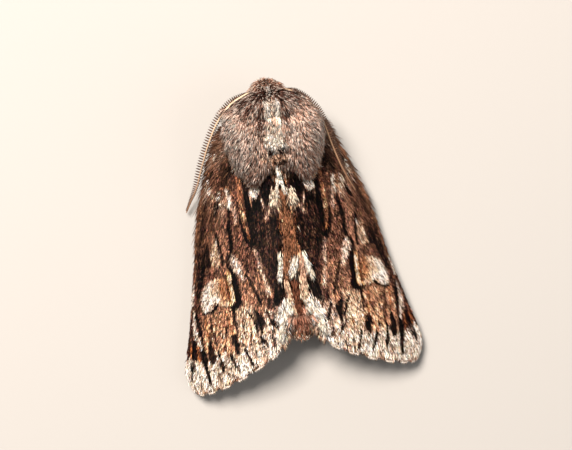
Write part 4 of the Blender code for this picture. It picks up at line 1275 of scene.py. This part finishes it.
# %% [markdown]
# ## The hindwings
# At rest the hindwings are folded under the forewings and only show from behind and below. They are
# paler, softer and plainly coloured, with a faint dark dot, so they get a membrane of their own and
# one layer of larger scales on each side.

# %% Hindwings
HINDWING_DROP = 0.95
HINDWING_SPAN, HINDWING_WIDTH, HINDWING_ROUNDING = (0.2, 0.93), (0.2, 0.8), 0.3


def hindwing_frame(out, across, side):
    """The same as wing_frame, for the hindwing's own shares: a part of the forewing, and lower."""
    end = HINDWING_SPAN[1] - HINDWING_ROUNDING * across**2
    out = HINDWING_SPAN[0] + (end - HINDWING_SPAN[0]) * out
    place, ahead, normal = wing_frame(out, within(HINDWING_WIDTH, across), side)
    return place - np.array([0, 0, HINDWING_DROP]), ahead, normal


def hindwing_colours(side_mm, back_mm, out, across):
    """Pale brown with a darker band, a dot and a pale edge."""
    spot = smooth_step(0.09, 0.05, np.hypot(out - 0.45, (across - 0.55) * 0.6))
    return layered(plain((176, 152, 134), len(out)),
                   ((126, 100, 84), 0.6 * smooth_step(0.9, 0.75, out) * smooth_step(0.55, 0.75, out)),
                   ((84, 60, 48), 0.7 * spot), ((226, 208, 190), smooth_step(0.93, 0.98, out)))


for word, side in SIDES:
    # The membrane takes the hindwing's colours at 0.7 of their brightness: painted shade between the scales.
    lay_membrane("hindwing_skin_" + word, "hindwing_" + word, side, ((0.0, 0.99), (0.01, 0.99)),
                 (50, 40), hindwing_frame, lambda *where: hindwing_colours(*where) * 0.7, "hindwing_scales")
    for layer, depth in (("scales", TOP_DEPTH), ("under", UNDER_DEPTH)):
        sow_scales(f"hindwing_{layer}_{word}", side, 3000, 0.68, 0.32, depth, hindwing_frame,
                   hindwing_colours, "hindwing_scales")

# %% [markdown]
# ## Eyes
# Each compound eye is a dome that bulges from the side of the head, ringed by fur. It starts as an
# icosphere, because its faces are even all over like the lenses of the eye, and is flattened where
# it meets the head.

# %% Compound eyes
for word, middle in EYES.items():
    bpy.ops.object.select_all(action="DESELECT")
    bpy.ops.mesh.primitive_ico_sphere_add(subdivisions=5, radius=EYE_RADIUS * MM)
    eye = bpy.context.object
    eye.name = "compound_eye_" + word
    edited(eye, lambda: bpy.ops.transform.resize(value=(0.9, 1.0, 0.98)),
           lambda: bpy.ops.transform.translate(value=to_scene([middle])[0]),
           lambda: bpy.ops.mesh.select_all(action="DESELECT"))
    seat = to_scene([(middle[0] * 0.8, middle[1], middle[2])])[0]
    for corner in eye.data.vertices:
        corner.select = abs(corner.co.x) < abs(seat[0])
    bpy.ops.object.mode_set(mode="EDIT")
    bpy.ops.transform.resize(value=(0.35, 1.0, 1.0), center_override=tuple(seat))
    bpy.ops.object.mode_set(mode="OBJECT")
    handed_over(eye, eye_finish, "eye", "eye_" + word, smooth=True)
    print(eye.name, len(eye.data.polygons), "facets")

# %% [markdown]
# ## Tubes: feelers, legs, claws
# Feelers, leg joints and claws are all tapering tubes of horn along a bent line. A curve with a
# radius at each point draws such a tube as by hand, and is then made a mesh with closed ends.

# %% Draw a tapering tube
def tube(name, points, radii, sides=3, finer=1):
    """A closed tapering tube through points on the moth (mm), as a mesh."""
    bpy.ops.object.select_all(action="DESELECT")
    bpy.ops.curve.primitive_nurbs_path_add()
    line = bpy.context.object
    line.name = name
    line.data.splines.clear()
    share = np.linspace(0, 1, (len(points) - 1) * finer + 1)
    places, girths = along(points, share), np.interp(share, np.linspace(0, 1, len(radii)), radii)
    spline = line.data.splines.new("POLY")
    spline.points.add(len(places) - 1)
    for point, place, girth in zip(spline.points, to_scene(places), girths):
        point.co = (*place, 1)
        point.radius = girth
    line.data.dimensions = "3D"
    line.data.bevel_depth = 1 * MM
    line.data.bevel_resolution = sides
    line.data.use_fill_caps = True
    line.data.twist_mode = "MINIMUM"
    bpy.ops.object.convert(target="MESH")
    made = bpy.context.object
    edited(made, lambda: bpy.ops.mesh.remove_doubles(threshold=1e-7),
           lambda: bpy.ops.mesh.normals_make_consistent(inside=False))
    bpy.ops.object.shade_smooth_by_angle(angle=math.radians(50))
    return made


def at_origin(piece):
    """Moves a piece's place into its mesh, and returns its corners as places on the moth."""
    only(piece)
    bpy.ops.object.transform_apply(location=True, rotation=True, scale=True)
    return to_moth([v.co for v in piece.data.vertices])


print("the tube tool is ready")

# %% [markdown]
# ## The feelers
# A male's feelers are combs: a cream shaft, jointed like a bamboo, with a dark tooth on each side of
# every joint, longest in the middle and dying out towards the tip. The shaft is a tube whose radius
# swells at each joint; the teeth are spikes planted in pairs along it.

# %% Feelers
TEETH = 80
SHAFT_INWARD = 0.2
FEELER_ROUTES = {
    "left": [(0.9, 1.15, 5.5), (1.55, 1.05, 6.0), (2.2, 1.2, 6.25), (3.7, 1.9, 6.0), (5.1, 3.25, 5.15),
             (6.25, 5.1, 4.0), (7.2, 7.1, 3.0), (8.05, 9.1, 2.0), (8.8, 10.3, 1.2), (9.4, 11.3, 0.6)],
    "right": [(-0.9, 1.15, 5.5), (-1.5, 1.15, 6.0), (-2.2, 1.35, 6.3), (-3.3, 2.1, 6.1), (-4.5, 3.4, 5.6),
              (-5.2, 5.0, 4.9), (-5.7, 7.0, 4.25), (-6.2, 8.8, 3.85), (-6.75, 10.3, 3.45),
              (-7.4, 11.7, 3.0)],
}
FEELER_TINTS = {"left": (232, 204, 172), "right": (206, 172, 138)}
for word, side in SIDES:
    stops = np.linspace(0, 1, TEETH * 2 + 1)
    line = along(FEELER_ROUTES[word], stops)
    aheads = unit(np.gradient(line, axis=0))
    inward = unit(np.cross(aheads, np.tile([0.0, 0.0, 1.0], (len(line), 1)))) * -side
    inward *= np.sign((inward * np.array([-side, 0.3, 0])).sum(1, keepdims=True))
    middle = line + inward * SHAFT_INWARD
    girth = 0.085 - 0.04 * stops + 0.012 * (np.arange(len(stops)) % 2)
    shaft = tube("feeler_" + word, middle[:-1], girth[:-1], sides=2)
    corners = at_origin(shaft)
    nearest = np.argmin(np.linalg.norm(corners[:, None, :] - line[None, ::2, :], axis=2), 1) / TEETH
    tinted(shaft.data, blend(plain(FEELER_TINTS[word], len(corners)), (140, 104, 78),
                             smooth_step(0.35, 1.0, nearest)))
    handed_over(shaft, feeler_finish, "feeler", "antenna_" + word)

    joint = np.arange(6, TEETH * 2 - 2, 2)
    share = stops[joint]
    reach = 0.6 * smooth_step(0.1, 0.34, share) * (1 - 0.7 * smooth_step(0.65, 1.0, share))
    heading = aheads[joint]
    teeth = []
    for way, sweep, size in ((1, -0.05, 1.0), (-1, 0.5, 0.45)):
        tooth = unit(-inward[joint] * way + heading * sweep + np.array([0, 0, -0.2]))
        up = unit(np.cross(tooth, heading) * -side * way)
        up *= np.sign(up[:, 2:3] + 1e-9)
        teeth.append(hair_corners(middle[joint] - np.array([0, 0, 0.02]), tooth, up, reach * size,
                                  0.2, 0.1, 0.22, rings=3))
    corners = np.concatenate(teeth)
    colour = plain((84, 57, 40), len(corners)) * chance.normal(1, 0.1, (len(corners), 1))
    bake = np.stack([np.tile(share, 2) * 0.96 + 0.02, np.repeat([0.3, 0.7], len(joint))], 1)
    joined_coat("feeler_comb_" + word, corners, shaded(colour, [1.4, 1.0, 0.85, 0.7]), bake, "feeler",
                feeler_finish)

# %% [markdown]
# ## The legs
# Six legs, each of a stout femur, a straight tibia with a pair of spurs, and a tarsus of five short
# segments that ends in two claws. They are drawn as tubes joint by joint, joined into one piece for
# each leg, and then clothed in short fur banded dark and pale.

# %% Legs, spurs and claws
BONES = ("femur", "tibia", "tarsus")
LEGS = {
    "front": [(0.7, 4.6, 1.7), (2.5, 4.1, 1.9), (2.95, 2.75, 0.7), (2.7, 1.0, 0.17)],
    "middle": [(1.2, 6.3, 1.7), (4.0, 5.7, 2.3), (5.3, 6.9, 0.8), (6.1, 9.6, 0.17)],
    "hind": [(1.2, 7.6, 1.6), (3.5, 9.6, 2.0), (5.4, 12.6, 0.8), (6.4, 16.4, 0.17)],
}


def leg_horn(hip, knee, ankle, toe):
    """The tubes of one leg, from the hip to the claws."""
    yield tube("femur", [hip, (hip + knee) / 2 + (0, 0, 0.05), knee], [0.3, 0.36, 0.28, 0.16], 4, 6)
    yield tube("tibia", [knee, (knee + ankle) / 2, ankle], [0.15, 0.24, 0.22, 0.15], 4, 6)
    for part in range(5):
        start = ankle + (toe - ankle) * part / 5.3
        stop = ankle + (toe - ankle) * (part + 1.04) / 5.3
        yield tube("tarsus", [start, (start + stop) / 2, stop], [0.09, 0.125, 0.14, 0.1], 3, 4)
    tip = ankle + (toe - ankle) * 0.985
    onward = unit((toe - ankle)[None])[0]
    beside = unit(np.cross(onward, [0, 0, 1])[None])[0]
    for way in (1, -1):
        yield tube("claw", [tip - onward * 0.1, tip + onward * 0.08 + beside * 0.07 * way,
                            tip + onward * 0.16 + beside * 0.1 * way - (0, 0, 0.08)],
                   [0.05, 0.035, 0.008], 2, 4)
        yield tube("spur", [ankle + (0, 0, 0.05), ankle + onward * 0.3 + beside * 0.14 * way,
                            ankle + onward * 0.55 + beside * 0.16 * way + (0, 0, 0.02)],
                   [0.07, 0.055, 0.01], 2, 4)


def leg_coat(name, hip, knee, ankle, toe, count=800):
    """Short fur round the three stretches of a leg, banded dark and pale."""
    stretch = chance.choice(3, size=count, p=[0.42, 0.38, 0.2])
    ends = np.array([(hip, knee), (knee, ankle), (ankle, toe)])[stretch]
    share = chance.uniform(0.02, 0.94, count)
    place = ends[:, 0] + (ends[:, 1] - ends[:, 0]) * share[:, None]
    heading = unit(ends[:, 1] - ends[:, 0])
    spin = chance.uniform(0, 2 * math.pi, count)
    first = unit(np.cross(heading, np.array([0.3, 0.2, 1.0])))
    second = np.cross(heading, first)
    normal = first * np.cos(spin)[:, None] + second * np.sin(spin)[:, None]
    place = place + normal * (np.array([0.26, 0.17, 0.09])[stretch] * 0.8)[:, None]
    length = np.array([0.55, 0.5, 0.2])[stretch] * chance.uniform(0.7, 1.2, count)
    rise = np.array([0.32, 0.34, 0.2])[stretch] * chance.uniform(0.6, 1.3, count)
    bands = smooth_step(0.1, 0.5, np.sin(share * np.array([5, 9, 28])[stretch]))
    colour = blend(plain((176, 146, 124), count), (84, 58, 46), bands)
    corners = hair_corners(place, heading, normal, length, 0.11, rise, rise * 0.6)
    corners[..., 2] = np.maximum(corners[..., 2], 0.01)
    # Levels along each hair: painted shade at the root and painted light at the tip.
    tints = shaded(colour * chance.normal(1, 0.12, (count, 1)), [0.5, 0.95, 1.15])
    joined_coat(name, corners, tints, on_map(spin / (2 * math.pi), (stretch + share) / 3), "leg_fur")


for pair, joints in LEGS.items():
    for word, side in SIDES:
        joints_here = [np.array(joint) * (side, 1, 1) for joint in joints]
        only(*list(leg_horn(*joints_here)))
        bpy.ops.object.join()
        leg = bpy.context.object
        leg.name = f"leg_{pair}_{word}"
        tinted(leg.data, plain((74, 48, 36), len(at_origin(leg))))
        handed_over(leg, leg_finish, "leg_fur", *(f"{bone}_{pair}_{word}" for bone in BONES))
        leg_coat(f"leg_fur_{pair}_{word}", *joints_here)

# %% [markdown]
# ## The finished moth
# The fine model has to be the size of the solids, because the solids are what the moth touches
# things with. Both boxes are kept side by side, and the whole is counted at the end.

# %% Sizes and the end
dressed_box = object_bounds()
for title, box in (("solids", cad_box), ("dressed", dressed_box)):
    print(title, [[round(part / MM, 2) for part in corner] for corner in box])
shown = [piece.data for piece in bpy.data.objects
         if piece.type == "MESH" and not piece.hide_render and piece is not floor]
print("pieces:", len(shown), "triangles:", sum(len(p.vertices) - 2 for mesh in shown for p in mesh.polygons))
